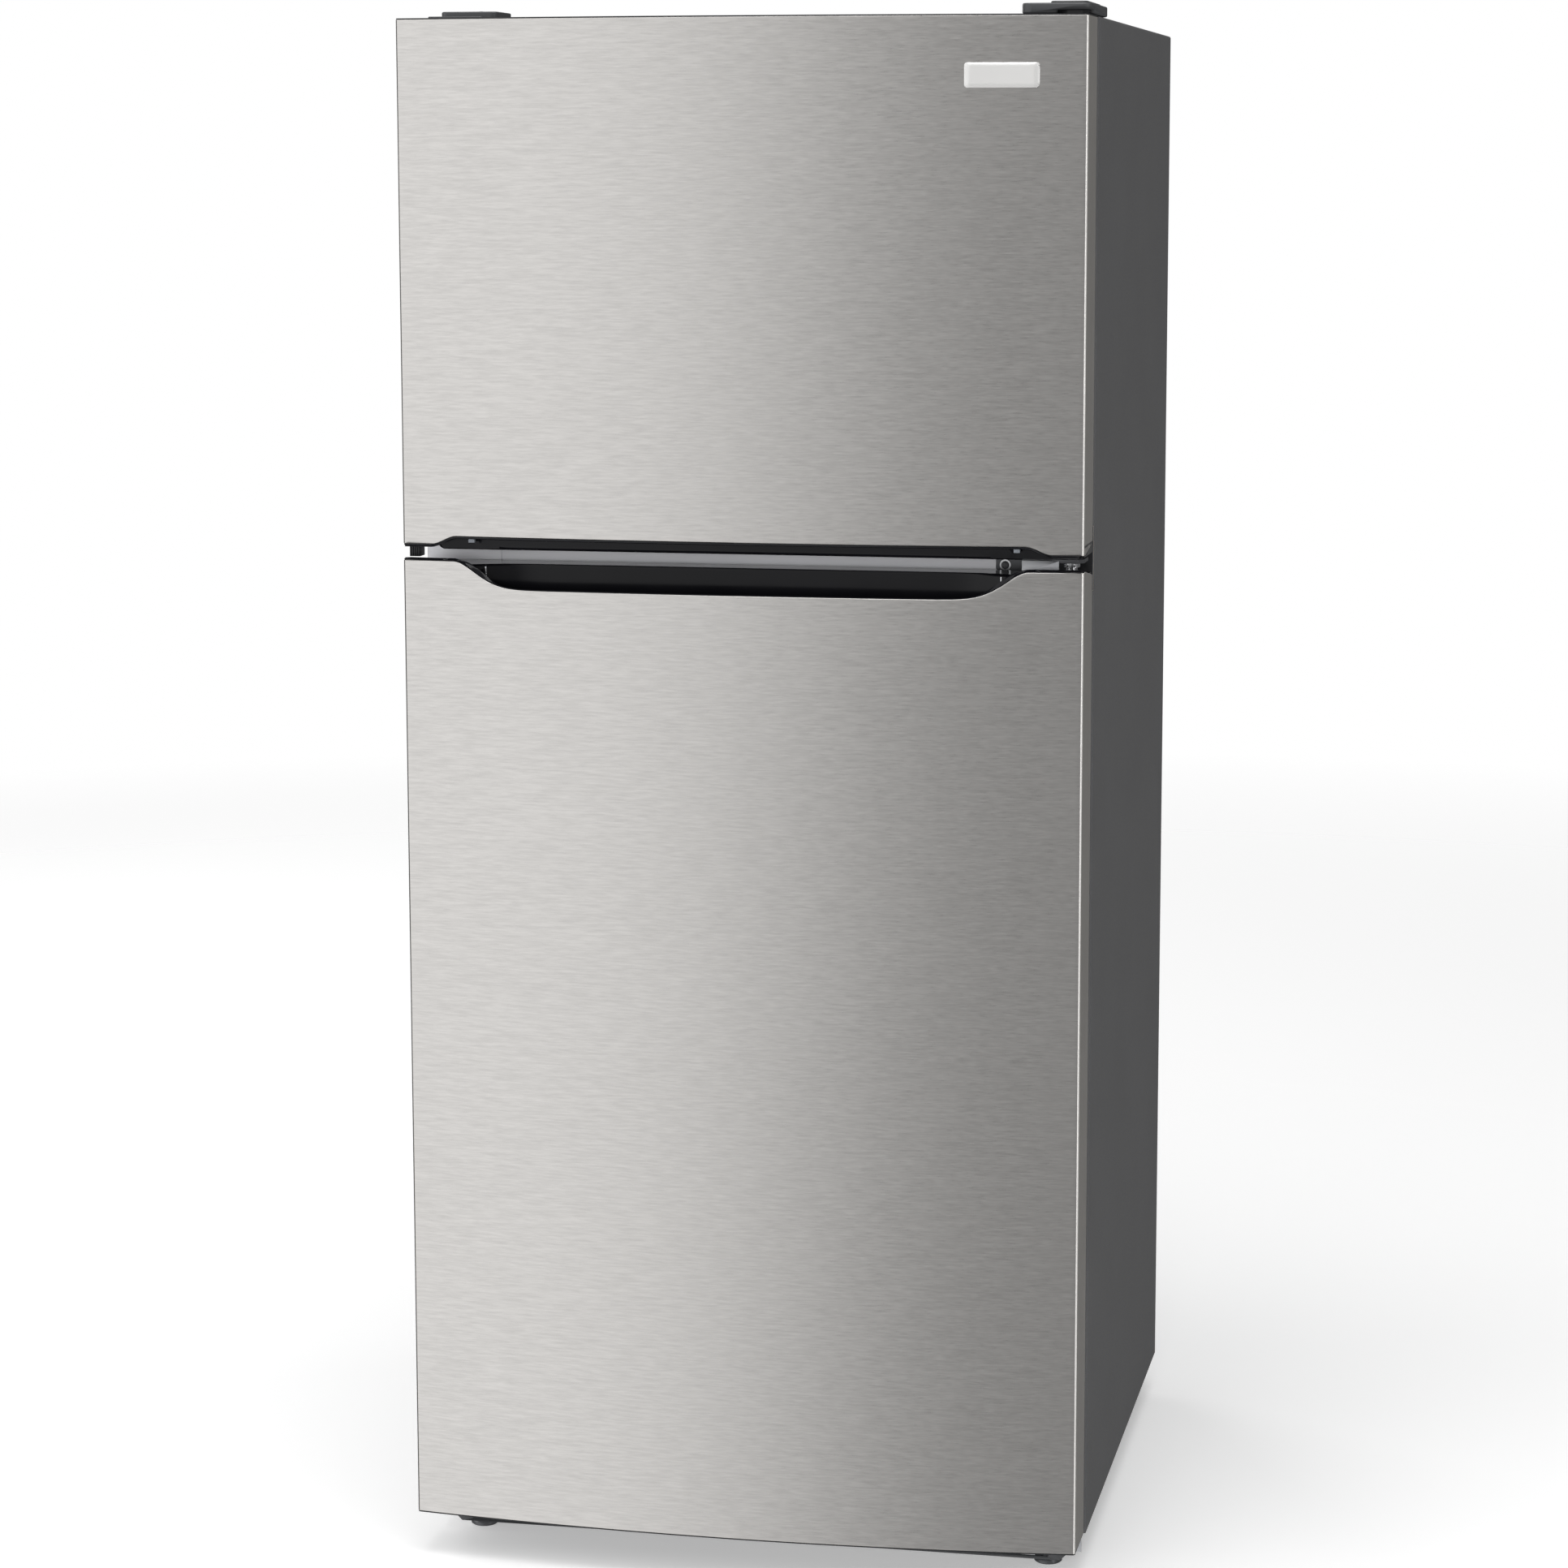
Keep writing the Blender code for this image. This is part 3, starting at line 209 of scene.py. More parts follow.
STEEL = brushed_steel()
STEEL_SIDE = textured(
    "stainless_side", (0.300, 0.288, 0.272), 0.42, 0.0012, 0.00001, 0.03, 0.25, (1.0, 1.0, 0.2)
)
# A dark copy of the steel: painted shade on the doors' left corners, the freezer door's top edge and the
# fresh-food door's bottom edge.
STEEL_SHADE = textured("stainless_painted_shade_edge", (0.100, 0.097, 0.092), 0.42, 0.0015, 0.00001, 0.03, 0.4)
# A bright copy of the steel: a painted highlight on the rolled edges of the doors' right half.
STEEL_PAINTED_HIGHLIGHT = textured("stainless_painted_highlight_edge", (0.86, 0.84, 0.81), 0.34, 0.0015, 0.00001, 0.03, 0.35)
CHARCOAL = textured("charcoal_paint", (0.112, 0.112, 0.116), 0.34, 0.0011, 0.00006, 0.04)
COVER_GREY = textured("dark_grey_plastic", (0.056, 0.058, 0.061), 0.42, 0.0009, 0.00005, 0.06)
BLACK_GLOSS = textured(
    "black_gloss_plastic", (0.006, 0.006, 0.0075), 0.13, 0.030, 0.00002, 0.15, Specular_IOR_Level=0.22
)
BLACK_MATT = textured("black_plastic", (0.014, 0.014, 0.016), 0.42, 0.0010, 0.00005, 0.1)
WHITE = textured("white_liner_plastic", (0.80, 0.81, 0.82), 0.30, 0.004, 0.00003, 0.02)
GASKET = textured("gasket_vinyl", (0.115, 0.115, 0.122), 0.55, 0.002, 0.00006, 0.06)
ZINC = galvanised()
BRIGHT_ZINC = textured("bright_zinc", (0.72, 0.73, 0.75), 0.22, 0.0015, 0.00003, 0.06, 1.0)
# The mullion's satin grey paint, made paler than the paint itself as painted light, so the strip between the
# doors reads bright in the gap's shade.
MULLION_GREY_AND_PAINTED_LIGHT = textured("satin_grey_paint_and_painted_light", (0.74, 0.74, 0.768), 0.36, 0.0014, 0.00004, 0.03, 0.1)
BRACKET = textured("bracket_paint", (0.090, 0.092, 0.098), 0.36, 0.0012, 0.00004, 0.06, 0.4)
FOAM = textured("polyurethane_foam", (0.72, 0.60, 0.36), 0.9, 0.006, 0.0006, 0.12)
BLACK_STEEL = textured("black_steel", (0.020, 0.020, 0.022), 0.38, 0.003, 0.00008, 0.1)
COPPER = textured("copper_tube", (0.74, 0.37, 0.23), 0.32, 0.01, 0.00003, 0.12, 1.0)
ALUMINIUM = textured("aluminium_fins", (0.78, 0.79, 0.80), 0.34, 0.002, 0.00003, 0.05, 1.0)
RUBBER = textured("rubber", (0.022, 0.022, 0.022), 0.75, 0.002, 0.0001, 0.1)
LENS = textured("frosted_lens", (0.88, 0.88, 0.86), 0.45, 0.0015, 0.00006, 0.02, Transmission_Weight=0.3)
CLEAR = see_through("clear_plastic", (0.80, 0.85, 0.88), 0.07, 0.24, 0.80, Coat_Weight=0.5)
GLASS = see_through("shelf_glass", (0.62, 0.78, 0.73), 0.03, 0.22, 0.92, Coat_Weight=0.6)
BADGE = textured("badge_metal", (0.64, 0.635, 0.625), 0.36, 0.0006, 0.00002, 0.03, 0.35)
PALE_PLASTIC = textured("pale_nylon", (0.55, 0.56, 0.58), 0.35, 0.003, 0.00003, 0.04)
MARKS = textured("printed_marks", (0.25, 0.27, 0.30), 0.5, 0.002, 0.00001, 0.02)


# ---- modelling helpers ----
UP = (0, 0, 1)
FRONT = (0, -1, 0)
REAR = (0, 1, 0)
MERGE = 1e-6  # points nearer than this are one point


def new_object(name, data):
    made = bpy.data.objects.new(name, data)
    bpy.context.scene.collection.objects.link(made)
    return made


def add_object(name, mesh, finish):
    made = new_object(name, mesh)
    mesh.materials.clear()
    mesh.materials.append(finish)
    return made


def settle(made, smooth_angle=38.0):
    """Applies the modifiers, then shades smooth except over edges sharper than smooth_angle."""
    bpy.context.view_layer.update()
    graph = bpy.context.evaluated_depsgraph_get()
    mesh = bpy.data.meshes.new_from_object(made.evaluated_get(graph))
    name, place, finish = made.name, made.matrix_world.copy(), made.active_material
    bpy.data.objects.remove(made, do_unlink=True)
    mesh.transform(place)
    mesh.shade_smooth()
    mesh.set_sharp_from_angle(angle=math.radians(smooth_angle))
    settled = new_object(name, mesh)
    if not mesh.materials:
        mesh.materials.append(finish)
    return settled


def cut(made, cutter, smooth_angle, operation="DIFFERENCE"):
    """Cuts a piece with another, which is used up."""
    boolean = made.modifiers.new("cut", "BOOLEAN")
    boolean.operation = operation
    boolean.object = cutter
    made = settle(made, smooth_angle)
    bpy.data.objects.remove(cutter, do_unlink=True)
    return made


def stand(place, direction):
    """Turns a piece that was made upright at the origin to a direction, and moves it to a place."""
    turn = Vector(UP).rotation_difference(Vector(direction)).to_matrix().to_4x4()
    return Matrix.Translation(place) @ turn


def rounded_edges(made, width, segments=3):
    if width:
        bevel = made.modifiers.new("round", "BEVEL")
        bevel.width = width
        bevel.segments = segments
        bevel.limit_method = "ANGLE"
        bevel.angle_limit = math.radians(35)
        bevel.harden_normals = False
        weighted = made.modifiers.new("even", "WEIGHTED_NORMAL")
        weighted.keep_sharp = True
    return made


def block(name, low, high, finish, edge=0.001, segments=3):
    """A block between two corners with rounded edges."""
    shape = bmesh.new()
    bmesh.ops.create_cube(shape, size=1.0)
    spans = [sorted(pair) for pair in zip(low, high)]
    for vertex in shape.verts:
        vertex.co = Vector(a + (b - a) * (c + 0.5) for (a, b), c in zip(spans, vertex.co))
    mesh = bpy.data.meshes.new(name)
    shape.to_mesh(mesh)
    shape.free()
    return settle(rounded_edges(add_object(name, mesh, finish), edge, segments), 80)


def rib(name, x, half, y, z, finish, edge=0.001, segments=3):
    """A block centred on x, between two places along Y and two along Z."""
    return block(name, (x - half, y[0], z[0]), (x + half, y[1], z[1]), finish, edge, segments)


AXES = {"X": (1, 2, 0), "Y": (0, 2, 1), "Z": (0, 1, 2)}


def plate(name, axis, outline, low, high, finish, edge=0.0, holes=(), segments=2):
    """A flat outline with holes, thickened along an axis from low to high."""
    first, second, along = AXES[axis]
    curve = bpy.data.curves.new(name, "CURVE")
    curve.dimensions = "2D"
    curve.fill_mode = "BOTH"
    curve.extrude = (high - low) / 2
    for points in (outline, *holes):
        line = curve.splines.new("POLY")
        line.points.add(len(points) - 1)
        for point, (u, v) in zip(line.points, points):
            point.co = (u, v, 0.0, 1.0)
        line.use_cyclic_u = True
    shape = new_object(name, curve)
    bpy.context.view_layer.update()
    mesh = bpy.data.meshes.new_from_object(shape.evaluated_get(bpy.context.evaluated_depsgraph_get()))
    bpy.data.objects.remove(shape, do_unlink=True)
    flat = bmesh.new()
    flat.from_mesh(mesh)
    bmesh.ops.remove_doubles(flat, verts=flat.verts, dist=MERGE)
    for vertex in flat.verts:
        place = [0.0, 0.0, 0.0]
        place[first], place[second], place[along] = vertex.co.x, vertex.co.y, vertex.co.z + (low + high) / 2
        vertex.co = place
    bmesh.ops.dissolve_limit(flat, angle_limit=math.radians(1), verts=flat.verts, edges=flat.edges)
    bmesh.ops.recalc_face_normals(flat, faces=flat.faces)
    flat.to_mesh(mesh)
    flat.free()
    return settle(rounded_edges(add_object(name, mesh, finish), edge, segments), 50)


def loft(name, loops, finish, closed=True, caps=True, smooth_angle=38.0):
    """Skin over a row of loops that have the same number of points."""
    shape = bmesh.new()
    rings = [[shape.verts.new(point) for point in loop] for loop in loops]
    count = len(rings[0])
    for first, second in zip(rings, rings[1:]):
        for i in range(count if closed else count - 1):
            j = (i + 1) % count
            shape.faces.new((first[i], first[j], second[j], second[i]))
    if closed and caps:
        shape.faces.new(rings[0][::-1])
        shape.faces.new(rings[-1])
    bmesh.ops.recalc_face_normals(shape, faces=shape.faces)
    mesh = bpy.data.meshes.new(name)
    shape.to_mesh(mesh)
    shape.free()
    made = add_object(name, mesh, finish)
    mesh.shade_smooth()
    mesh.set_sharp_from_angle(angle=math.radians(smooth_angle))
    return made


def weld(made):
    """Merges points that fall together, such as the rims of a curve's caps, and turns the faces outwards."""
    shape = bmesh.new()
    shape.from_mesh(made.data)
    bmesh.ops.remove_doubles(shape, verts=shape.verts, dist=MERGE)
    bmesh.ops.recalc_face_normals(shape, faces=shape.faces)
    shape.to_mesh(made.data)
    shape.free()
    return made


def turned(name, profile, place, direction, finish, steps=32):
    """A profile of (radius, height) points turned round an axis through place. It runs from the bottom up."""
    loops = []
    for i in range(steps + 1):
        angle = 2 * math.pi * i / steps
        loops.append([(r * math.cos(angle), r * math.sin(angle), h) for r, h in profile])
    made = weld(loft(name, loops, finish, closed=False))
    made.data.transform(stand(place, direction))
    made.data.shade_smooth()
    made.data.set_sharp_from_angle(angle=math.radians(38))
    return made


def rod(name, points, radius, finish, closed=False, sides=3):
    """A round bar or wire along a line of points, as a mesh."""
    curve = bpy.data.curves.new(name, "CURVE")
    curve.dimensions = "3D"
    curve.bevel_depth = radius
    curve.bevel_resolution = sides
    curve.use_fill_caps = True
    line = curve.splines.new("POLY")
    line.points.add(len(points) - 1)
    for point, place in zip(line.points, points):
        point.co = (*place, 1.0)
    line.use_cyclic_u = closed
    made = new_object(name, curve)
    curve.materials.append(finish)
    return weld(settle(made, 60))


def join(name, pieces):
    """Makes one object of several, keeping their finishes."""
    made = pieces[0]
    if len(pieces) > 1:
        with bpy.context.temp_override(
            active_object=made, object=made, selected_objects=pieces, selected_editable_objects=pieces
        ):
            bpy.ops.object.join()
    made.name = name
    return made


def place_piece(made, body, slot, *replaced):
    """The piece rides on a body and stands for the CAD nodes named. The slot is not used."""
    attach(made, body)
    if replaced:
        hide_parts(*replaced)
    return made


def rounded(x0, y0, x1, y1, radius, steps=5):
    """A rectangle outline with round corners."""
    outline = []
    for cx, cy, start in (
        (x1 - radius, y0 + radius, -90),
        (x1 - radius, y1 - radius, 0),
        (x0 + radius, y1 - radius, 90),
        (x0 + radius, y0 + radius, 180),
    ):
        for i in range(steps + 1):
            angle = math.radians(start + 90 * i / steps)
            outline.append((cx + radius * math.cos(angle), cy + radius * math.sin(angle)))
    return outline


def hexagon(radius, x=0.0, y=0.0):
    corners = [math.radians(60 * i) for i in range(6)]
    return [(x + radius * math.cos(angle), y + radius * math.sin(angle)) for angle in corners]


def smooth_line(points, steps=4):
    """A smooth line through the points, with steps between each pair."""
    line = []
    ends = [points[0], *points, points[-1]]
    for a, b, c, d in zip(ends, ends[1:], ends[2:], ends[3:]):
        a, b, c, d = (Vector(p) for p in (a, b, c, d))
        for i in range(steps):
            t = i / steps
            line.append(
                0.5 * (
                    2 * b + (c - a) * t + (2 * a - 5 * b + 4 * c - d) * t * t + (
                        3 * b - a - 3 * c + d
                    ) * t ** 3
                )
            )
    line.append(Vector(points[-1]))
    return line


def ease(s):
    s = min(max(s, 0.0), 1.0)
    return s * s * (3 - 2 * s)


# ---- door shapes ----
def bow(x, inset=0.0):
    """Y of the bowed door front at x."""
    return DOOR_FRONT + BOW_RADIUS - math.sqrt((BOW_RADIUS - inset) ** 2 - x * x)


def pocket_drop(x):
    s = min(max((POCKET_OUTER - abs(x)) / (POCKET_OUTER - POCKET_INNER), 0.0), 1.0)
    return 1 - math.exp(-((s / 0.33) ** 1.85))


def recess_rise(x):
    return ease((RECESS_OUTER - abs(x)) / (RECESS_OUTER - RECESS_INNER))


def corner_cut(x, y):
    """How far a door's side is cut back towards its rear corner, next to the gap between the doors."""
    near_side = ease((abs(x) - SIDE_CUT_START) / (HALF_WIDTH - DOOR_CORNER - SIDE_CUT_START))
    return SIDE_CUT * near_side * min(max((y - SIDE_CUT_FRONT) / (DOOR_BACK - SIDE_CUT_FRONT), 0.0), 1.0)


def door_path(steps=200, corner_steps=7):
    """The door's plan line with its inward direction: up one side, across the bow, down the other side."""
    corner_x = HALF_WIDTH - DOOR_CORNER
    corner_y = bow(corner_x) + DOOR_CORNER
    slope = math.asin(corner_x / BOW_RADIUS)
    right = [(HALF_WIDTH, DOOR_BACK), (HALF_WIDTH, DOOR_BACK - 0.004), (HALF_WIDTH, SIDE_CUT_FRONT)]
    for i in range(corner_steps + 1):
        angle = (math.pi / 2 - slope) * i / corner_steps
        right.append((corner_x + DOOR_CORNER * math.cos(angle), corner_y - DOOR_CORNER * math.sin(angle)))
    front = [corner_x * (1 - 2 * i / steps) for i in range(1, steps)]
    line = right + [(x, bow(x)) for x in front] + [(-x, y) for x, y in reversed(right)]
    path = []
    for i, (x, y) in enumerate(line):
        before, after = line[max(i - 1, 0)], line[min(i + 1, len(line) - 1)]
        along = Vector((after[0] - before[0], after[1] - before[1])).normalized()
        path.append((x, y, along.y, -along.x))
    return path


EDGE_ZONE = 0.002  # keeps the roll of an edge out of the flat's shading


FLAT_SIDE, ROLLED = 0.93, 0.36  # how far a face's normal leans on the door's sides and on its rolled edges


def no_change(x, y):
    return 0.0


def door_skin(name, node, body, top_drop=no_change, bottom_rise=no_change):
    """A steel wrap of even thickness with round edges, whose top or bottom edge follows a line."""
    low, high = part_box(node)
    radius, arc_steps = SKIN / 2, 6
    loops = []
    for x, y, inward_x, inward_y in door_path():
        top, bottom = high.z - top_drop(x, y), low.z + bottom_rise(x, y)
        loop = [(x, y, bottom + radius + EDGE_ZONE), (x, y, top - radius - EDGE_ZONE)]
        for centre, start in ((top - radius, 0), (bottom + radius, 180)):
            for i in range(arc_steps + 1):
                angle = math.radians(start + 180 * i / arc_steps)
                inset = radius * (1 - math.cos(angle))
                loop.append((x + inward_x * inset, y + inward_y * inset, centre + radius * math.sin(angle)))
        loops.append(loop)
    wrap = loft(name, loops, STEEL)
    wrap.data.materials.append(STEEL_SIDE)
    # The bright steel is a painted highlight on the rolled edges right of the doors' middle.
    wrap.data.materials.append(STEEL_PAINTED_HIGHLIGHT)
    # The dark steel is painted shade on the left corner, the freezer door's top edge and the fresh-food
    # door's bottom edge.
    wrap.data.materials.append(STEEL_SHADE)
    for face in wrap.data.polygons:
        facing = face.normal
        painted_shade_top = facing.z > ROLLED and top_drop is no_change
        painted_shade_foot = facing.z < -ROLLED and bottom_rise is no_change
        if abs(facing.x) > FLAT_SIDE:
            face.material_index = 1
        elif painted_shade_top or painted_shade_foot or facing.x < -ROLLED:
            face.material_index = 3
        elif face.center.x > 0 and max(facing.x, abs(facing.z)) > ROLLED:
            face.material_index = 2
    return place_piece(wrap, body, "stainless", node)


def molded_edge(name, columns, profile, turn_in, thickness, finish):
    """A thin moulding: profile(x) gives its line from the door front to the door back at each x."""
    made = loft(name, with_side_walls(columns, profile, turn_in), finish, closed=False, smooth_angle=50)
    solid = made.modifiers.new("wall", "SOLIDIFY")
    solid.thickness = abs(thickness)
    solid.offset = -1.0 if thickness > 0 else 1.0
    return made


def with_side_walls(columns, profile, turn_in):
    """A moulding's rows, with a wall at each end that turns in behind the steel."""
    rows = [[(x, y, z) for y, z in profile(x)] for x in columns]
    wall_x = HALF_WIDTH - SKIN - GAP
    wall_front = bow(wall_x) + DOOR_CORNER + 0.001
    for index, side in ((0, -1), (-1, 1)):
        edge = [(side * wall_x, max(y, wall_front), z) for x, y, z in rows[index]]
        wall = [(x, y, z + turn_in) for x, y, z in edge]
        rows = [wall, edge, *rows] if side < 0 else [*rows, edge, wall]
    return rows


def mix(first, second, share):
    return first + (second - first) * share


def door_columns(half, step=0.004):
    count = int(2 * half / step)
    return [half * (2 * i / count - 1) for i in range(count + 1)]


def fresh_lip(x, y):
    return POCKET_DEPTH * pocket_drop(x) + corner_cut(x, y)


def freezer_lip(x, y):
    return RECESS_DEPTH * recess_rise(x) + corner_cut(x, y)


def pocket_profile(x):
    """The handle pocket's line at x: over the steel edge, through the trough, to the door back."""
    p = pocket_drop(x)
    front = bow(x, GAP)
    rim = FRESH_STEEL_TOP + 0.0012 - POCKET_DEPTH * p
    side = [
        (front + 0.006, 1.1520), (-0.3880, 1.1520), (-0.3800, 1.1520), (-0.3765, 1.1519), (-0.3748, 1.1505),
        (-0.3742, 1.1478), (-0.3735, 1.1456), (-0.3640, 1.1452),
    ]
    deep = [
        (front + 0.0045, rim - 0.006), (-0.3940, 1.1000), (-0.3840, 1.0930), (-0.3700, 1.0925),
        (-0.3570, 1.0930), (-0.3530, 1.0960), (POCKET_BACK, 1.1400), (-0.3500, 1.1452),
    ]
    middle = [(mix(a[0], b[0], p), mix(a[1], b[1], p)) for a, b in zip(side, deep)]
    start = [
        (front, rim - 0.0011), (front, rim - 0.0003), (front + 0.0004, rim),
        (front + 0.0022, rim - 0.0002 * p),
    ]
    curve = [tuple(point) for point in smooth_line([start[-1], *middle], 4)]
    return start[:-1] + curve + [(-0.3400, 1.1452), (DOOR_BACK, 1.1452)]


def recess_profile(x):
    """The freezer trim's line at x: round the steel's edge, through the finger recess, to the door back."""
    r = recess_rise(x)
    deep_share = ease((0.300 - abs(x)) / 0.030)
    front = bow(x, GAP)
    rim = FREEZER_STEEL_FOOT - 0.0012 + RECESS_DEPTH * r
    level = 1.1680 + RECESS_DEPTH * r
    hang = mix(level, 1.1630, ease((RECESS_OUTER - abs(x)) / 0.004))
    ceiling = mix(level, 1.2060, deep_share)
    middle = [
        (front + 0.0060, mix(level, rim + 0.012, deep_share)),
        (-0.3930, mix(level, 1.1980, deep_share)),
        (-0.3850, ceiling),
        (-0.3730, ceiling),
        (-0.3650, mix(level, 1.1990, deep_share)),
        (RECESS_BACK, mix(level, 1.1880, deep_share)),
        (RECESS_BACK, mix(level, 1.1660, deep_share)),
        (RECESS_BACK + 0.0004, hang + 0.0006),
        (RECESS_BACK + 0.0016, hang),
        (-0.3360, hang),
    ]
    start = [(front, rim + 0.0011), (front, rim + 0.0003), (front + 0.0004, rim), (front + 0.0022, rim)]
    curve = [tuple(point) for point in smooth_line([start[-1], *middle[:7]], 4)]
    back = [(-0.3340, mix(hang, 1.1680, 0.5)), (-0.3335, 1.1680), (DOOR_BACK, 1.1680)]
    return start[:-1] + curve + middle[7:] + back


def screw_head(name, place, direction, radius, finish, height=0.0022):
    """A pan head with a cross recess, flat side at place."""
    head = turned(
        name,
        [
            (0.0, 0.0), (radius, 0.0), (radius, height * 0.35), (radius * 0.92, height * 0.75),
            (radius * 0.6, height), (0.0, height),
        ],
        (0, 0, 0), UP, finish, 24,
    )
    arm, wide, deep = radius * 0.62, radius * 0.13, height * 0.75
    for long, short in ((arm, wide), (wide, arm)):
        cutter = block(name + "_cross", (-long, -short, deep * 0.45), (long, short, height * 2), finish, 0.0)
        head = cut(head, cutter, 35)
    head.data.transform(stand(place, direction))
    return head


def copies(piece, name, places):
    """Copies of a mesh piece, moved by each offset."""
    made = []
    for i, place in enumerate(places):
        twin = piece.copy()
        twin.data = piece.data.copy()
        twin.data.transform(Matrix.Translation(place))
        twin.name = f"{name}_{i + 1}"
        bpy.context.scene.collection.objects.link(twin)
        made.append(twin)
    return made


# ---- doors ----
def freezer_door():
    door_skin("freezer_door_steel", "freezer_door_skin", "freezer_door", bottom_rise=freezer_lip)
    trim = settle(
        molded_edge(
            "freezer_handle_molding", door_columns(HALF_WIDTH - 0.0035, 0.003), recess_profile,
            SIDE_CUT + 0.003, -0.0016, BLACK_GLOSS,
        ),
        50,
    )
    bumper = [block("bumper", (-0.3788, -0.3695, 1.1532), (-0.3665, -0.3520, 1.1672), BLACK_MATT, 0.0006)]
    for i in range(5):
        x = -0.3780 + i * 0.0024
        bumper.append(
            block("bumper_rib", (x, -0.3708, 1.1536), (x + 0.0013, -0.3690, 1.1668), BLACK_MATT, 0.0003)
        )
    marks = []
    for side in (-1, 1):
        x = side * 0.306
        marks.append(
            block(
                "recess_clip", (x - 0.0035, RECESS_BACK - 0.0120, 1.1700),
                (x + 0.0035, RECESS_BACK - 0.0060, 1.1768), MARKS, 0.0006,
            )
        )
    place_piece(
        join("freezer_handle", [trim, *bumper, *marks]), "freezer_door", "black_gloss", "freezer_handle_trim"
    )
    place_piece(badge(), "freezer_door", "badge_metal", "badge")


def badge():
    """A blank plate with soft edges that follows the bow of the door."""
    low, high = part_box("badge")
    columns, rows, raised, edge = 24, 10, 0.0019, 0.0007
    loops = []
    for i in range(columns + 1):
        u = i / columns
        x = mix(low.x, high.x, u)
        loop = []
        for j in range(rows + 1):
            v = j / rows
            z = mix(low.z, high.z, v)
            from_edge = min(min(u, 1 - u) * (high.x - low.x), min(v, 1 - v) * (high.z - low.z))
            rise = raised * math.sqrt(1 - (1 - min(from_edge / edge, 1.0)) ** 2)
            loop.append((x, bow(x) - rise, z))
        loops.append(loop)
    front = loft("badge_plate", loops, BADGE, closed=False, smooth_angle=60)
    mask = plate("badge_outline", "Y", rounded(low.x, low.z, high.x, high.z, 0.003, 8), -0.43, -0.38, BADGE)
    solid = front.modifiers.new("thickness", "SOLIDIFY")
    solid.thickness = 0.0012
    solid.offset = -1.0
    return cut(front, mask, 60, "INTERSECT")


def fresh_door():
    door_skin("fresh_food_door_steel", "fresh_food_door_skin", "fresh_food_door", top_drop=fresh_lip)
    pocket = settle(
        molded_edge(
            "handle_pocket_molding", door_columns(HALF_WIDTH - 0.0035, 0.003), pocket_profile,
            -SIDE_CUT - 0.003, 0.0016, BLACK_GLOSS,
        ),
        50,
    )
    # Thin bright zinc posts at the pocket's ends: a painted glint on the black moulding.
    ribs = []
    for side in (-1, 1):
        x = side * 0.2895
        ribs.append(
            block(
                "pocket_painted_glint_rib", (x - 0.0008, -0.3760, 1.1300), (x + 0.0008, -0.3720, 1.1440), BRIGHT_ZINC,
                0.0004,
            )
        )
    place_piece(
        join("handle_pocket", [pocket, *ribs]), "fresh_food_door", "black_gloss", "fresh_food_handle_pocket"
    )


PIN, PIN_TIP = 0.005, 0.0038


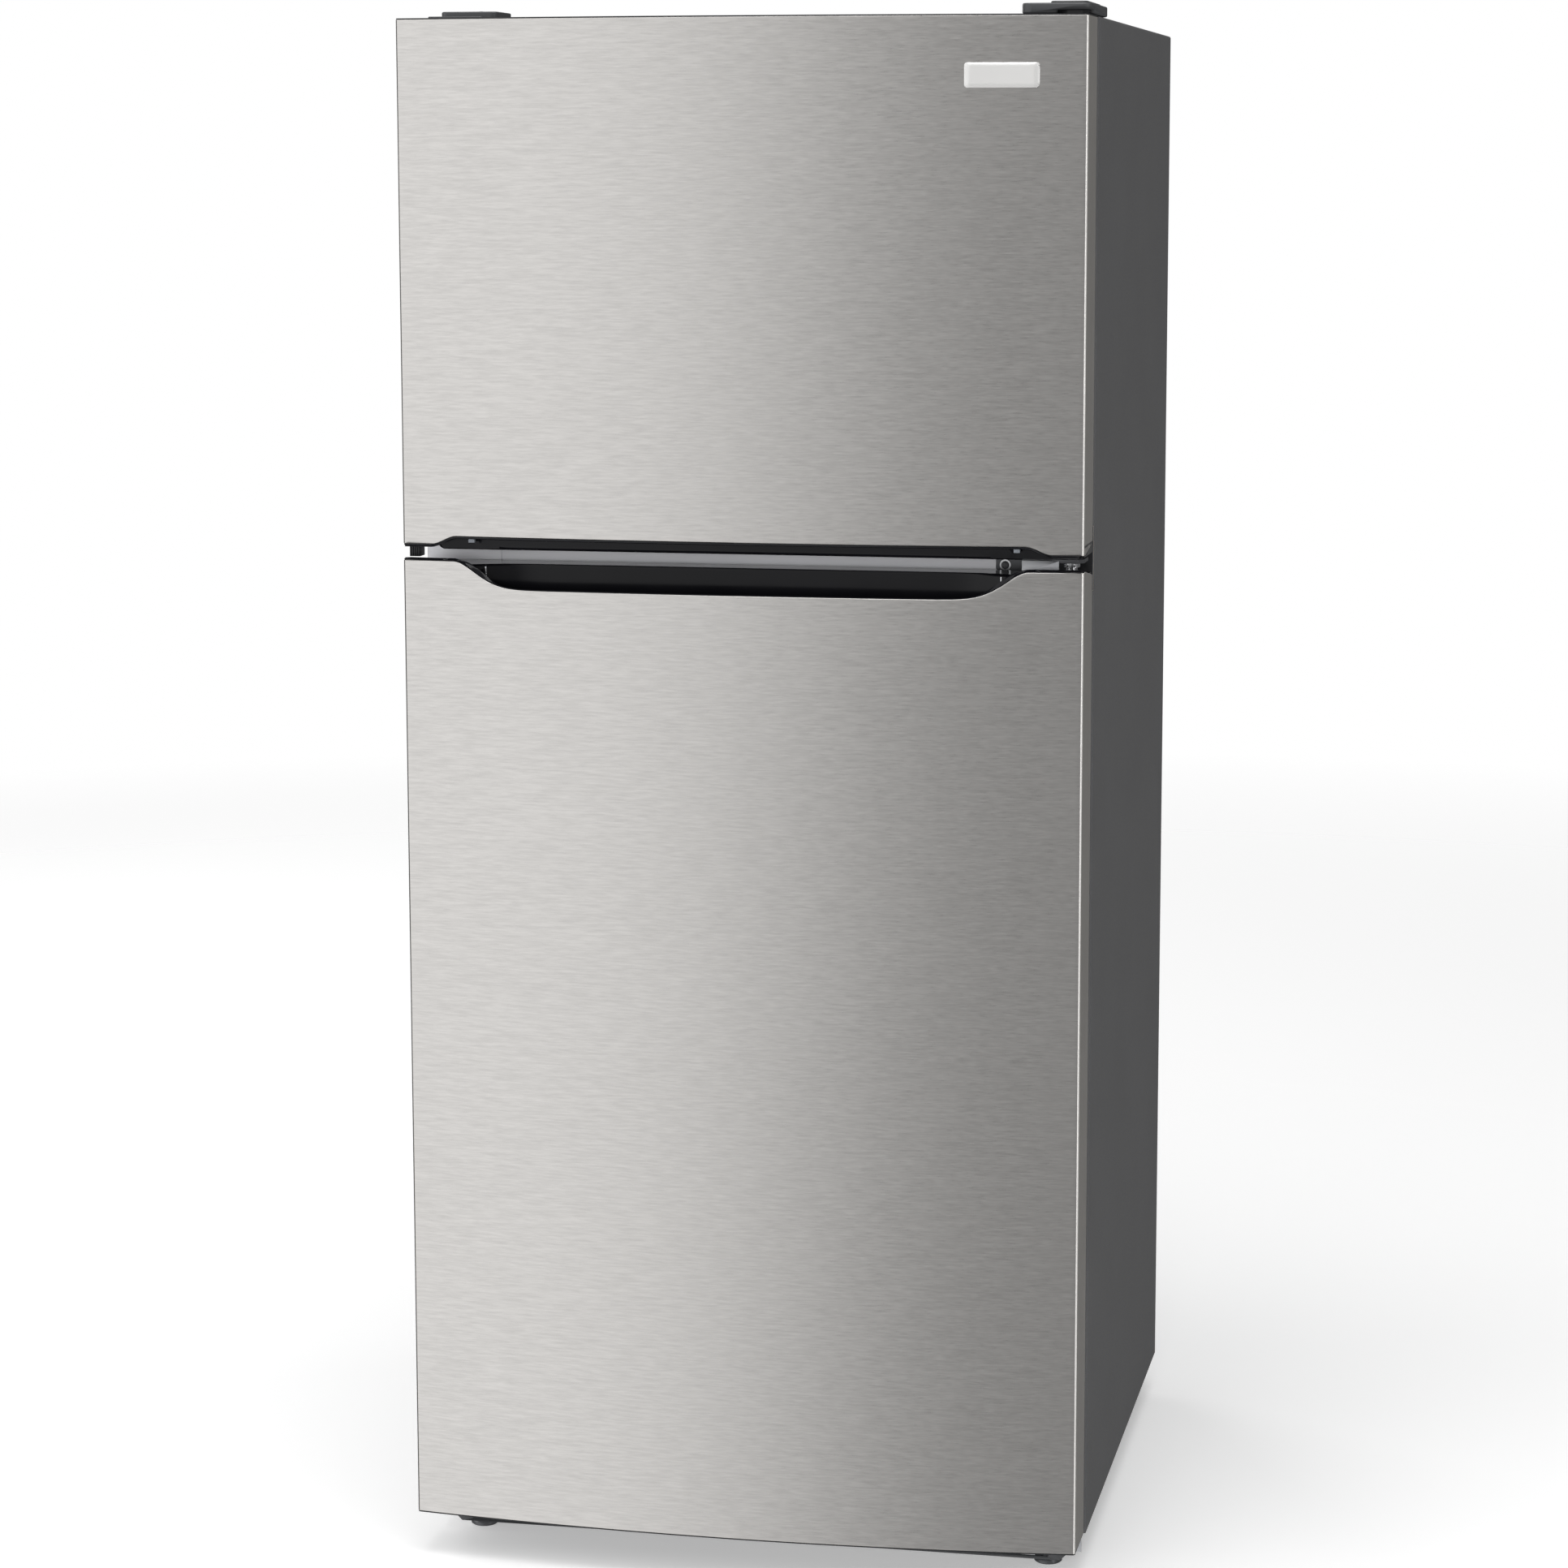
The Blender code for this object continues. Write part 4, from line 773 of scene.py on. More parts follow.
def center_hinge():
    """The bracket between the doors: plate, screw and rivet, arm with a scalloped flange, pins and nut."""
    low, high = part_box("center_hinge")
    plate_low, plate_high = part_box("mullion_cover_plate")
    front = plate_low.y - 0.0014
    pieces = [
        plate(
            "hinge_plate", "Y", rounded(0.272, plate_low.z, 0.350, plate_high.z, 0.002), front, plate_high.y,
            BRACKET, 0.0004,
        )
    ]
    screw_z = 1.1492
    ring = turned(
        "screw_ring", [(0.0045, 0.0), (0.0062, 0.0), (0.0062, 0.0010), (0.0045, 0.0010), (0.0045, 0.0)],
        (0.2825, front, screw_z), FRONT, BRIGHT_ZINC, 32,
    )
    rivet = turned(
        "rivet", [(0.0026, 0.0), (0.0026, 0.0006), (0.0020, 0.0014), (0.0009, 0.0018), (0.0, 0.0018)],
        (0.3065, front, screw_z), FRONT, BRIGHT_ZINC, 24,
    )
    pieces += [ring, rivet, screw_head("hinge_screw", (0.2825, front, screw_z), FRONT, 0.0044, BRACKET)]
    arm = [
        (0.305, plate_high.y), (0.312, -0.318), (0.334, -0.346), (0.346, -0.3525), (0.354, -0.3545),
        (0.370, -0.3540), (0.3765, -0.347), (0.3765, -0.315), (0.362, plate_high.y),
    ]
    pieces.append(plate("hinge_arm", "Z", arm, 1.1575, 1.1620, BRACKET, 0.0006))
    scallops = [
        (0.309 + 0.0405 * i / 36, 1.1490 + 0.0016 * abs(math.sin(i * math.pi / 9)) * (1 if i > 8 else 0))
        for i in range(37)
    ]
    flange = scallops + [(0.3495, 1.1600), (0.309, 1.1600)]
    pieces.append(plate("hinge_flange", "Y", flange, -0.3548, -0.3530, PALE_PLASTIC, 0.0004))
    pin = [
        (0.0, low.z), (PIN_TIP, low.z), (PIN, low.z + 0.0015), (PIN, 1.1527), (0.0085, 1.1527),
        (0.0085, 1.1575), (0.0, 1.1575),
    ]
    upper = [(0.0, 1.1615), (0.0085, 1.1615), (0.0085, 1.1672), (PIN, 1.1675), (PIN, high.z - 0.0015),
             (PIN_TIP, high.z), (0.0, high.z)]
    for name, profile in (("lower_pin", pin), ("upper_pin", upper)):
        pieces.append(turned(name, profile, (HINGE_X, HINGE_Y, 0.0), UP, BRIGHT_ZINC, 32))
    pieces.append(
        plate("pin_nut", "Z", hexagon(0.0092, HINGE_X, HINGE_Y), 1.1530, 1.1574, BRIGHT_ZINC, 0.0006)
    )
    end_low, end_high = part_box("mullion_rail")
    pieces.append(
        block(
            "mullion_end", (0.3625, end_low.y - 0.0012, end_low.z + 0.0002),
            (end_high.x - 0.0001, end_low.y, end_high.z - 0.0002), BLACK_MATT, 0.0004,
        )
    )
    place_piece(join("center_hinge_bracket", pieces), "cabinet", "zinc_steel", "center_hinge")


# ---- seals and bins ----
def rings(name, loops, finish, smooth_angle=38.0):
    """Skin over loops in a row that closes on itself."""
    return loft(name, [*loops, loops[0]], finish, caps=False, smooth_angle=smooth_angle)


def gasket(name, node, body):
    """A folded vinyl seal: a frame whose section has bellows on both sides and a flat magnetic face."""
    low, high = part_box(node)
    depth, width, fold = high.y - low.y, 0.0225, 0.0016
    outer_side = [
        (fold * (i % 2), low.y + depth * share)
        for i, share in enumerate((0.0, 0.18, 0.34, 0.50, 0.64))
    ]
    face = [(0.0008, high.y - 0.0045), (0.0018, high.y - 0.0008), (0.0035, high.y)]
    section = outer_side + face
    section += [(width - u, y) for u, y in reversed(section)]
    path = dense(rounded(low.x, low.z, high.x, high.z, 0.008, 6), 0.1)
    loops = [
        [
            (min(max(x, low.x + u), high.x - u), y, min(max(z, low.z + u), high.z - u))
            for u, y in section
        ]
        for x, z in path
    ]
    seal = weld(rings(name, loops, GASKET, 30))
    place_piece(seal, body, "gasket_vinyl", node)


def tray(name, low, high, wall, corner, finish, top=None, rim=0.0012, lean=0.0):
    """A moulded bin with round corners, floor and rim. top(x, y) gives its height there."""
    low, high = Vector(low), Vector(high)
    height = top or (lambda x, y: high.z)
    foot = min(corner * 0.5, 0.006)

    def ring(inset, z, follow_top=False, radius=corner):
        outline = rounded(
            low.x + inset, low.y + inset, high.x - inset, high.y - inset, max(radius - inset, 0.0015), 6
        )
        return [(x, y, (height(x, y) + z) if follow_top else z) for x, y in dense(outline)]

    loops = [
        ring(corner + 0.004, low.z + 0.0004),
        ring(foot + lean, low.z),
        ring(foot * 0.30 + lean, low.z + foot * 0.30),
        ring(lean, low.z + foot),
        ring(rim, -0.0060, True),
        ring(rim, -0.0045, True),
        ring(0.0, -0.0040, True),
        ring(0.0, -0.0008, True),
        ring(0.0007, 0.0, True),
        ring(rim + wall - 0.0006, 0.0, True),
        ring(rim + wall, -0.0010, True),
        ring(wall + lean, low.z + wall + foot),
        ring(wall + foot * 0.30 + lean, low.z + wall + foot * 0.30),
        ring(wall + foot + lean, low.z + wall),
        ring(corner + 0.004, low.z + wall + 0.0004),
    ]
    return loft(name, loops, finish, smooth_angle=42)


def dense(outline, step=0.02):
    """The outline with extra points on its long straight runs."""
    points = []
    for i, start in enumerate(outline):
        end = outline[(i + 1) % len(outline)]
        count = max(int(math.dist(start, end) / step), 1)
        points += [(mix(start[0], end[0], j / count), mix(start[1], end[1], j / count)) for j in range(count)]
    return points


def low_side(high, drop, start, end):
    """A height that dips towards the +Y side, for reaching in over it."""
    return lambda x, y: high - drop * ease((y - start) / (end - start))


def door_fittings():
    for name in ("door_bin_upper", "door_bin_middle", "door_bin_lower"):
        low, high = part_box(name)
        dip = low_side(high.z, 0.018, high.y - 0.050, high.y - 0.020)
        bin_pieces = [tray(name + "_shell", low, high, 0.0030, 0.016, CLEAR, dip, lean=0.0015)]
        for i in range(3):
            z = low.z + 0.014 + i * 0.006
            first, last = (low.x + 0.035, high.y - 0.0016, z), (high.x - 0.035, high.y - 0.0003, z + 0.0018)
            bin_pieces.append(block(name + "_rib", first, last, CLEAR, 0.0005))
        place_piece(join(name + "_clear", bin_pieces), name, "clear_plastic", name)
    for name in ("freezer_rack_lower", "freezer_rack_upper"):
        low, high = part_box(name)
        dip = low_side(high.z, 0.012, high.y - 0.045, high.y - 0.020)
        rack = [tray(name + "_shell", low, high, 0.0028, 0.014, WHITE, dip, lean=0.0012)]
        for i in range(19):
            x = mix(low.x + 0.035, high.x - 0.035, i / 18)
            y, z = (high.y - 0.0020, high.y - 0.0002), (low.z + 0.010, high.z - 0.020)
            rack.append(rib("rack_rib", x, 0.0012, y, z, WHITE, 0.0005, 2))
        place_piece(join(name + "_molding", rack), "freezer_door", "white_plastic", name)
    low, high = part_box("dairy_box")
    place_piece(
        tray("dairy_tub", low, high, 0.0030, 0.010, WHITE), "fresh_food_door", "white_plastic", "dairy_box"
    )


def crispers():
    for side in ("left", "right"):
        node = "crisper_" + side
        low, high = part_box(node)
        middle = (low.x + high.x) / 2
        shell_low = (low.x + 0.0010, low.y + 0.0200, low.z)
        pieces = [
            tray(
                node + "_shell", shell_low, (high.x - 0.0010, high.y, high.z - 0.001), 0.0030, 0.014, CLEAR,
                lean=0.0020,
            )
        ]
        front = low.y + 0.0140
        slot_hole = rounded(middle - 0.0450, 0.3138, middle + 0.0450, 0.3262, 0.0020, 3)
        pieces.append(
            plate(
                node + "_front", "Y", rounded(low.x, low.z, high.x, high.z, 0.010, 6), front, front + 0.0060,
                CLEAR, 0.0014, [slot_hole], 3,
            )
        )
        pull = [
            (front + 0.001, 0.3045), (front - 0.0080, 0.3050), (low.y + 0.0022, 0.3035),
            (low.y + 0.0002, 0.3000), (low.y + 0.0012, 0.2962), (low.y + 0.0045, 0.2975),
            (front - 0.0070, 0.2990), (front + 0.001, 0.2988),
        ]
        loops = []
        for i in range(17):
            x = mix(middle - 0.060, middle + 0.060, i / 16)
            reach = math.sqrt(max(1 - (2 * i / 16 - 1) ** 8, 0.0)) * 0.98 + 0.02
            loops.append([(x, mix(front, y, reach), z) for y, z in pull])
        pieces.append(loft(node + "_pull", loops, WHITE))
        pieces.append(
            block(
                node + "_rail", (low.x + 0.006, front - 0.0015, low.z + 0.018),
                (high.x - 0.006, front + 0.001, low.z + 0.024), CLEAR, 0.0008,
            )
        )
        place_piece(join(node + "_drawer", pieces), node, "clear_plastic", node)
        node = "humidity_slider_" + side
        low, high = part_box(node)
        slider = [block("slider_body", low + Vector((0, 0.0022, 0)), high, COVER_GREY, 0.0008)]
        for i in range(5):
            x = mix(low.x + 0.006, high.x - 0.006, i / 4)
            y, z = (low.y, low.y + 0.003), (low.z + 0.002, high.z - 0.002)
            slider.append(rib("slider_rib", x, 0.0008, y, z, COVER_GREY, 0.0004, 2))
        place_piece(join("humidity_slide_" + side, slider), node, "dark_plastic", node)


def framed_pane(name, node, slot):
    """A glass pane let into a white moulded frame."""
    low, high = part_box(node)
    rail, back_rail, side_rail = 0.020, 0.014, 0.011
    side_y = (low.y + rail - 0.003, high.y - back_rail + 0.003)
    pane = block(
        name + "_glass", (low.x + 0.004, low.y + 0.006, high.z - 0.0058),
        (high.x - 0.004, high.y - 0.005, high.z - 0.0018), GLASS, 0.0006,
    )
    pieces = [
        block(name + "_front", (low.x, low.y, low.z), (high.x, low.y + rail, high.z), WHITE, 0.0028, 4),
        block(name + "_back", (low.x, high.y - back_rail, low.z), (high.x, high.y, high.z), WHITE, 0.0020, 3),
        block(
            name + "_left", (low.x, side_y[0], low.z), (low.x + side_rail, side_y[1], high.z), WHITE, 0.0018
        ),
        block(
            name + "_right", (high.x - side_rail, side_y[0], low.z), (high.x, side_y[1], high.z), WHITE,
            0.0018,
        ),
        pane,
    ]
    place_piece(join(name, pieces), "cabinet", slot, node)


def wire_shelf():
    low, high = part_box("freezer_shelf")
    frame_radius, wire_radius = 0.0030, 0.0014
    outline = rounded(
        low.x + frame_radius, low.y + frame_radius, high.x - frame_radius, high.y - frame_radius, 0.012, 5
    )
    edge = [(x, y, low.z + frame_radius) for x, y in outline]
    pieces = [rod("shelf_frame", edge, frame_radius, WHITE, True)]
    count = 46
    for i in range(1, count):
        x = mix(low.x, high.x, i / count)
        front = low.y + wire_radius * 1.2
        wire = [
            (x, front, low.z + 0.0004 + wire_radius), (x, front, high.z - wire_radius - 0.0012),
            (x, front + 0.0012, high.z - wire_radius), (x, high.y - 0.002, high.z - wire_radius),
        ]
        pieces.append(rod("shelf_wire", wire, wire_radius, WHITE, sides=1))
    for share in (0.18, 0.5, 0.82):
        y = mix(low.y, high.y, share)
        bar = [(low.x + 0.002, y, low.z + 0.0028), (high.x - 0.002, y, low.z + 0.0028)]
        pieces.append(rod("shelf_bar", bar, 0.0024, WHITE, sides=2))
    place_piece(join("freezer_wire_shelf", pieces), "cabinet", "white_plastic", "freezer_shelf")


def controls():
    low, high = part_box("control_housing")
    pieces = [
        block("housing_body", low, high, WHITE, 0.0060, 5),
        block(
            "housing_band", (low.x + 0.012, low.y - 0.0002, low.z + 0.006),
            (high.x - 0.012, low.y + 0.004, high.z - 0.006), COVER_GREY, 0.0015,
        ),
    ]
    knob_low, knob_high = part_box("temperature_knob")
    centre = (knob_low + knob_high) / 2
    for i in range(9):
        angle = math.radians(-120 + 30 * i)
        x, z = centre.x + 0.0190 * math.sin(angle), centre.z + 0.0190 * math.cos(angle)
        if low.z + 0.007 < z < high.z - 0.007:
            y = (low.y - 0.0004, low.y + 0.001)
            pieces.append(rib("dial_mark", x, 0.0006, y, (z - 0.0012, z + 0.0012), WHITE, 0.0002, 1))
    place_piece(join("control_panel", pieces), "cabinet", "white_plastic", "control_housing")
    skirt = 0.0165
    profile = [(0.0, 0.0), (skirt, 0.0), (skirt, 0.0035), (0.0145, 0.0050), (0.0135, 0.0075), (0.0, 0.0078)]
    knob = [turned("knob_body", profile, (centre.x, knob_high.y, centre.z), FRONT, WHITE, 40)]
    y, z = (knob_low.y, knob_high.y - 0.0060), (centre.z - 0.0138, centre.z + 0.0138)
    knob.append(rib("knob_grip", centre.x, 0.0030, y, z, WHITE, 0.0012))
    y, z = (knob_low.y - 0.0001, knob_low.y + 0.001), (centre.z + 0.0040, centre.z + 0.0130)
    knob.append(rib("knob_pointer", centre.x, 0.0006, y, z, COVER_GREY, 0.0002, 1))
    place_piece(join("temperature_dial", knob), "temperature_knob", "white_plastic", "temperature_knob")
    low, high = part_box("light_lens")
    lens = [block("lens_body", (low.x, low.y, low.z + 0.0014), high, LENS, 0.0030, 4)]
    for i in range(15):
        x = mix(low.x + 0.008, high.x - 0.008, i / 14)
        y, z = (low.y + 0.005, high.y - 0.005), (low.z, low.z + 0.003)
        lens.append(rib("lens_rib", x, 0.0022, y, z, LENS, 0.0010, 2))
    place_piece(join("light_cover", lens), "cabinet", "clear_plastic", "light_lens")


def evaporator_details():
    """A bezel round the fan slots, screws, and the duct outlet at the top of the fresh-food space."""
    cover_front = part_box("evaporator_cover")[0].y
    fan_low, fan_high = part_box("evaporator_fan")
    centre = (fan_low + fan_high) / 2
    bezel = [
        (0.0600, 0.0), (0.0680, 0.0), (0.0680, 0.0016), (0.0655, 0.0034), (0.0625, 0.0034), (0.0600, 0.0016),
        (0.0600, 0.0),
    ]
    pieces = [turned("fan_bezel", bezel, (centre.x, cover_front, centre.z), FRONT, WHITE, 56)]
    for x in (-0.295, 0.295):
        for z in (1.230, 1.500, 1.660):
            pieces.append(screw_head("cover_screw", (x, cover_front, z), FRONT, 0.0042, BRIGHT_ZINC))
    for x in (-0.200, 0.200):
        y = (cover_front - 0.0020, cover_front + 0.0005)
        pieces.append(rib("cover_panel", x, 0.075, y, (1.300, 1.640), WHITE, 0.0015))
    place_piece(join("evaporator_cover_trim", pieces), "cabinet", "white_plastic")
    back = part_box("fresh_food_liner")[1].y - 0.0025
    outlet = [
        block("duct_body", (-0.080, back - 0.0120, 1.000), (0.080, back + 0.0005, 1.062), WHITE, 0.0040, 4)
    ]
    for i in range(5):
        z = 1.0085 + i * 0.0105
        outlet.append(
            block(
                "duct_slat", (-0.068, back - 0.0128, z), (0.068, back - 0.0110, z + 0.0040), COVER_GREY,
                0.0008, 2,
            )
        )
    place_piece(join("cold_air_outlet", outlet), "cabinet", "white_plastic")


RIB_PROUD = 0.0010  # how far the liners' ribs stand out of the wall


def side_ribs(wall, levels, front, back):
    """Ribs at each level on both side walls of a liner."""
    ribs = []
    for side in (-1, 1):
        for z in levels:
            first = (side * (wall - RIB_PROUD), front, z - 0.003)
            last = (side * (wall + RIB_PROUD), back, z + 0.003)
            ribs.append(block("side_rib", first, last, WHITE, 0.0009, 2))
    return ribs


def liner_ribs():
    """Shallow moulded ribs along the liners' side walls, and up the fresh-food liner's back wall."""
    freezer = side_ribs(0.320, (1.240, 1.290, 1.340, 1.390, 1.500, 1.550, 1.600, 1.650), -0.240, 0.268)
    place_piece(join("freezer_liner_ribs", freezer), "cabinet", "white_plastic")
    back_wall = 0.3490
    y = (back_wall - 0.0018, back_wall + RIB_PROUD)
    fresh = [
        rib("back_rib", x, 0.004, y, (0.372, 0.985), WHITE, 0.0014, 2)
        for x in (-0.250, -0.150, -0.050, 0.050, 0.150, 0.250)
    ]
    fresh += side_ribs(0.332, (0.400, 0.500, 0.660, 0.740, 0.900, 0.960, 1.020), -0.150, 0.320)
    place_piece(join("fresh_food_liner_ribs", fresh), "cabinet", "white_plastic")


# ---- top, bottom and rear ----
def top_covers():
    low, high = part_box("top_hinge_cover")
    shoulder = high.z - 0.0024
    base = plate(
        "cover_base", "Z", rounded(low.x, low.y, high.x, high.y, 0.012, 8), low.z, shoulder, COVER_GREY,
        0.0018, segments=3,
    )
    cutter = plate(
        "slot_cutter", "Y", rounded(0.3420, low.z - 0.004, high.x + 0.004, 1.7496, 0.0018), low.y - 0.01,
        low.y + 0.017, BLACK_MATT,
    )
    base = cut(base, cutter, 50)
    rise = plate(
        "cover_rise", "Z", rounded(0.334, low.y + 0.008, high.x - 0.006, high.y - 0.014, 0.010, 8),
        shoulder - 0.001, high.z, COVER_GREY, 0.0015, segments=3,
    )
    dark = block(
        "slot_inside", (0.3435, low.y + 0.0110, low.z + 0.0002), (high.x - 0.0030, low.y + 0.0175, 1.7494),
        BLACK_MATT, 0.0004,
    )
    head = screw_head("cover_screw", (0.319, -0.250, shoulder - 0.0004), UP, 0.0046, BRIGHT_ZINC)
    place_piece(
        join("hinge_cover_right", [base, rise, dark, head]), "cabinet", "dark_plastic", "top_hinge_cover"
    )
    low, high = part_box("top_left_cover")
    cap = plate(
        "cap_body", "Z", rounded(low.x + 0.013, low.y + 0.005, high.x, high.y, 0.008, 6), low.z, high.z,
        COVER_GREY, 0.0016, segments=3,
    )
    step = plate(
        "cap_step", "Z", rounded(low.x, low.y, high.x - 0.016, low.y + 0.016, 0.0025, 4), low.z,
        low.z + 0.0052, COVER_GREY, 0.0010, segments=3,
    )
    head = screw_head("cap_screw", (-0.330, -0.225, high.z - 0.0006), UP, 0.0042, BRIGHT_ZINC)
    place_piece(join("hinge_cover_left", [cap, step, head]), "cabinet", "dark_plastic", "top_left_cover")


def feet():
    for side in ("left", "right"):
        node = "leveling_leg_" + side
        low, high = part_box(node)
        x, y = (low.x + high.x) / 2, (low.y + high.y) / 2
        profile = [
            (0.0, 0.0), (0.0145, 0.0), (0.0160, 0.0012), (0.0160, 0.0045), (0.0150, 0.0058), (0.0060, 0.0062),
        ]
        turns = 18
        for i in range(turns):
            z = mix(0.0070, high.z - 0.0015, i / (turns - 1))
            profile += [(0.0060, z), (0.0050, z + 0.0007)]
        profile.append((0.0, high.z))
        leg = [turned(node + "_thread", profile, (x, y, 0.0), UP, BRACKET, 28)]
        leg.append(plate(node + "_hex", "Z", hexagon(0.0085, x, y), 0.0058, 0.0110, BRACKET, 0.0008))
        place_piece(join(node + "_foot", leg), node, "zinc_steel", node)
        node = "rear_roller_" + side
        low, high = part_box(node)
        centre = (low + high) / 2
        radius = (high.z - low.z) / 2
        wide = 0.0105
        tread = [
            (0.0, -0.0145), (0.0040, -0.0145), (0.0040, -wide), (0.0120, -wide), (0.0130, -wide + 0.0015),
            (0.0165, -wide + 0.0015), (0.0175, -wide), (radius - 0.0010, -wide), (radius, -wide + 0.0012),
            (radius, -0.0040), (radius - 0.0008, -0.0032), (radius - 0.0008, -0.0026), (radius, -0.0018),
        ]
        tread += [(r, -h) for r, h in reversed(tread)]
        wheel = turned(node + "_wheel", tread, centre, (1, 0, 0), BLACK_MATT, 48)
        place_piece(wheel, node, "dark_plastic", node)


def hex_screw(name, place, direction, finish):
    """A washer-headed sheet screw."""
    head = turned(
        name + "_washer", [(0.0, 0.0), (0.0062, 0.0), (0.0062, 0.0006), (0.0050, 0.0010), (0.0, 0.0010)],
        (0, 0, 0), UP, finish, 24,
    )
    made = join(name, [head, plate(name + "_hex", "Z", hexagon(0.0038), 0.0008, 0.0032, finish, 0.0004)])
    made.data.transform(stand(place, direction))
    return made


def rear_details():
    low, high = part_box("rear_panel")
    first = hex_screw("panel_screw", (0, high.y - 0.0001, 0), REAR, BRIGHT_ZINC)
    places = [
        (side * 0.368, 0.0, z)
        for side in (-1, 1)
        for z in (0.325, 0.560, 0.800, 1.040, 1.280, 1.520, 1.720)
    ]
    places += [(x, 0.0, 1.732) for x in (-0.180, 0.0, 0.180)]
    cover_low, cover_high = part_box("machine_cover")
    places += [(x, 0.0, z) for x in (-0.362, 0.362) for z in (0.064, 0.175, 0.285)]
    places += [(x, 0.0, 0.285) for x in (-0.12, 0.12)]
    screws = copies(first, "panel_screw", places)
    bpy.data.objects.remove(first, do_unlink=True)
    ribs = []
    for side in (-1, 1):
        for z0, z1 in ((0.360, 0.960), (1.020, 1.680)):
            line = [(side * 0.300, high.y - 0.0004, z0), (side * 0.300, high.y - 0.0004, z1)]
            ribs.append(rod("pressed_rib", line, 0.0022, ZINC, sides=2))
    for z in (0.980, 1.000):
        seam = [(-0.372, high.y - 0.0004, z), (0.372, high.y - 0.0004, z)]
        ribs.append(rod("pressed_seam", seam, 0.0016, ZINC, sides=2))
    place_piece(join("rear_panel_fixings", screws + ribs), "cabinet", "zinc_steel")
    edge, rim = high.y + 0.0002, 0.0075
    outer, foot = HALF_WIDTH - 0.0006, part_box("cabinet_wrapper")[0].z
    flange = [
        block(
            "flange_side", (side * outer, edge, foot), (side * (outer - rim), edge + 0.0014, low.z + 0.001),
            CHARCOAL, 0.0004,
        )
        for side in (-1, 1)
    ]
    for z in ((cover_high.z - 0.0006, low.z + 0.0012), (foot, cover_low.z + 0.0006)):
        flange.append(rib("flange_across", 0.0, outer, (edge, edge + 0.0014), z, CHARCOAL, 0.0004))
    place_piece(join("machine_space_flange", flange), "cabinet", "cabinet_paint")
    inlet_low, inlet_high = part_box("power_inlet")
    centre = (inlet_low + inlet_high) / 2
    collar = [
        (0.0, -0.018), (0.0078, -0.018), (0.0078, -0.0034), (0.0140, -0.0032), (0.0140, -0.0015),
        (0.0130, -0.0008), (0.0085, -0.0006), (0.0072, 0.0), (0.0040, 0.0), (0.0036, -0.0040), (0.0, -0.0040),
    ]
    inlet = turned("cord_inlet", collar, (centre.x, inlet_high.y, centre.z), REAR, BLACK_MATT, 40)
    place_piece(inlet, "cabinet", "dark_plastic", "power_inlet")


def machine_space():
    low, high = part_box("compressor")
    x, y = -0.190, 0.285
    can = [
        (0.0, 0.066), (0.050, 0.068), (0.068, 0.078), (0.0765, 0.096), (0.078, 0.120), (0.078, 0.1500),
        (0.078, 0.1515), (0.078, 0.1545), (0.078, 0.1560), (0.078, 0.198), (0.0745, 0.214), (0.066, 0.226),
        (0.050, 0.236), (0.028, 0.242), (0.0, 0.2445),
    ]
    pieces = [turned("compressor_can", can, (x, y, 0.0), UP, BLACK_STEEL, 56)]
    pieces.append(
        block("compressor_plate", (low.x, 0.205, 0.0600), (-0.105, 0.365, 0.0640), BLACK_STEEL, 0.0012)
    )
    pieces.append(
        block(
            "relay_box", (x + 0.0640, y - 0.024, 0.110), (x + 0.0850, y + 0.024, 0.165), BLACK_MATT, 0.0040, 4
        )
    )
    grommet = [
        (0.0, 0.0467), (0.0100, 0.0467), (0.0105, 0.0500), (0.0085, 0.0530), (0.0105, 0.0560),
        (0.0100, 0.0600), (0.0060, 0.0610), (0.0, 0.0615),
    ]
    for gx in (-0.262, -0.118):
        for gy in (0.218, 0.352):
            pieces.append(turned("grommet", grommet, (gx, gy, 0.0), UP, RUBBER, 24))
    place_piece(join("compressor_unit", pieces), "cabinet", "black_steel", "compressor")
    suction = smooth_line(
        [
            (-0.150, 0.345, 0.150), (-0.140, 0.370, 0.150), (-0.120, 0.380, 0.170), (-0.085, 0.382, 0.215),
            (-0.045, 0.382, 0.240), (-0.045, 0.382, 0.285),
        ],
        6,
    )
    discharge = smooth_line(
        [
            (-0.130, 0.232, 0.120), (-0.105, 0.212, 0.110), (-0.060, 0.200, 0.085), (0.020, 0.196, 0.072),
            (0.060, 0.205, 0.078), (0.076, 0.215, 0.085),
        ],
        6,
    )
    pipes = [rod("suction_pipe", suction, 0.0032, COPPER), rod("discharge_pipe", discharge, 0.0026, COPPER)]
    place_piece(join("refrigerant_pipes", pipes), "cabinet", "copper")
    wires = []
    for layer in (0.215, 0.285, 0.355):
        for side in (-1, 1):
            for i in range(24):
                wx = mix(0.082, 0.308, i / 23)
                wy = layer + side * 0.0055
                wire = [(wx, wy, 0.076), (wx, wy, 0.244)]
                wires.append(rod("condenser_wire", wire, 0.0009, BLACK_STEEL, sides=1))
    place_piece(join("condenser_wires", wires), "cabinet", "black_steel")
    fins = []
    low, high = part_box("evaporator_coil")
    for i in range(44):
        fx = mix(-0.228, 0.228, i / 43)
        fins.append(
            rib("fin", fx, 0.0002, (0.2925, high.y + 0.0035), (low.z + 0.002, high.z - 0.002), ALUMINIUM, 0.0)
        )
    place_piece(join("evaporator_fins", fins), "cabinet", None)


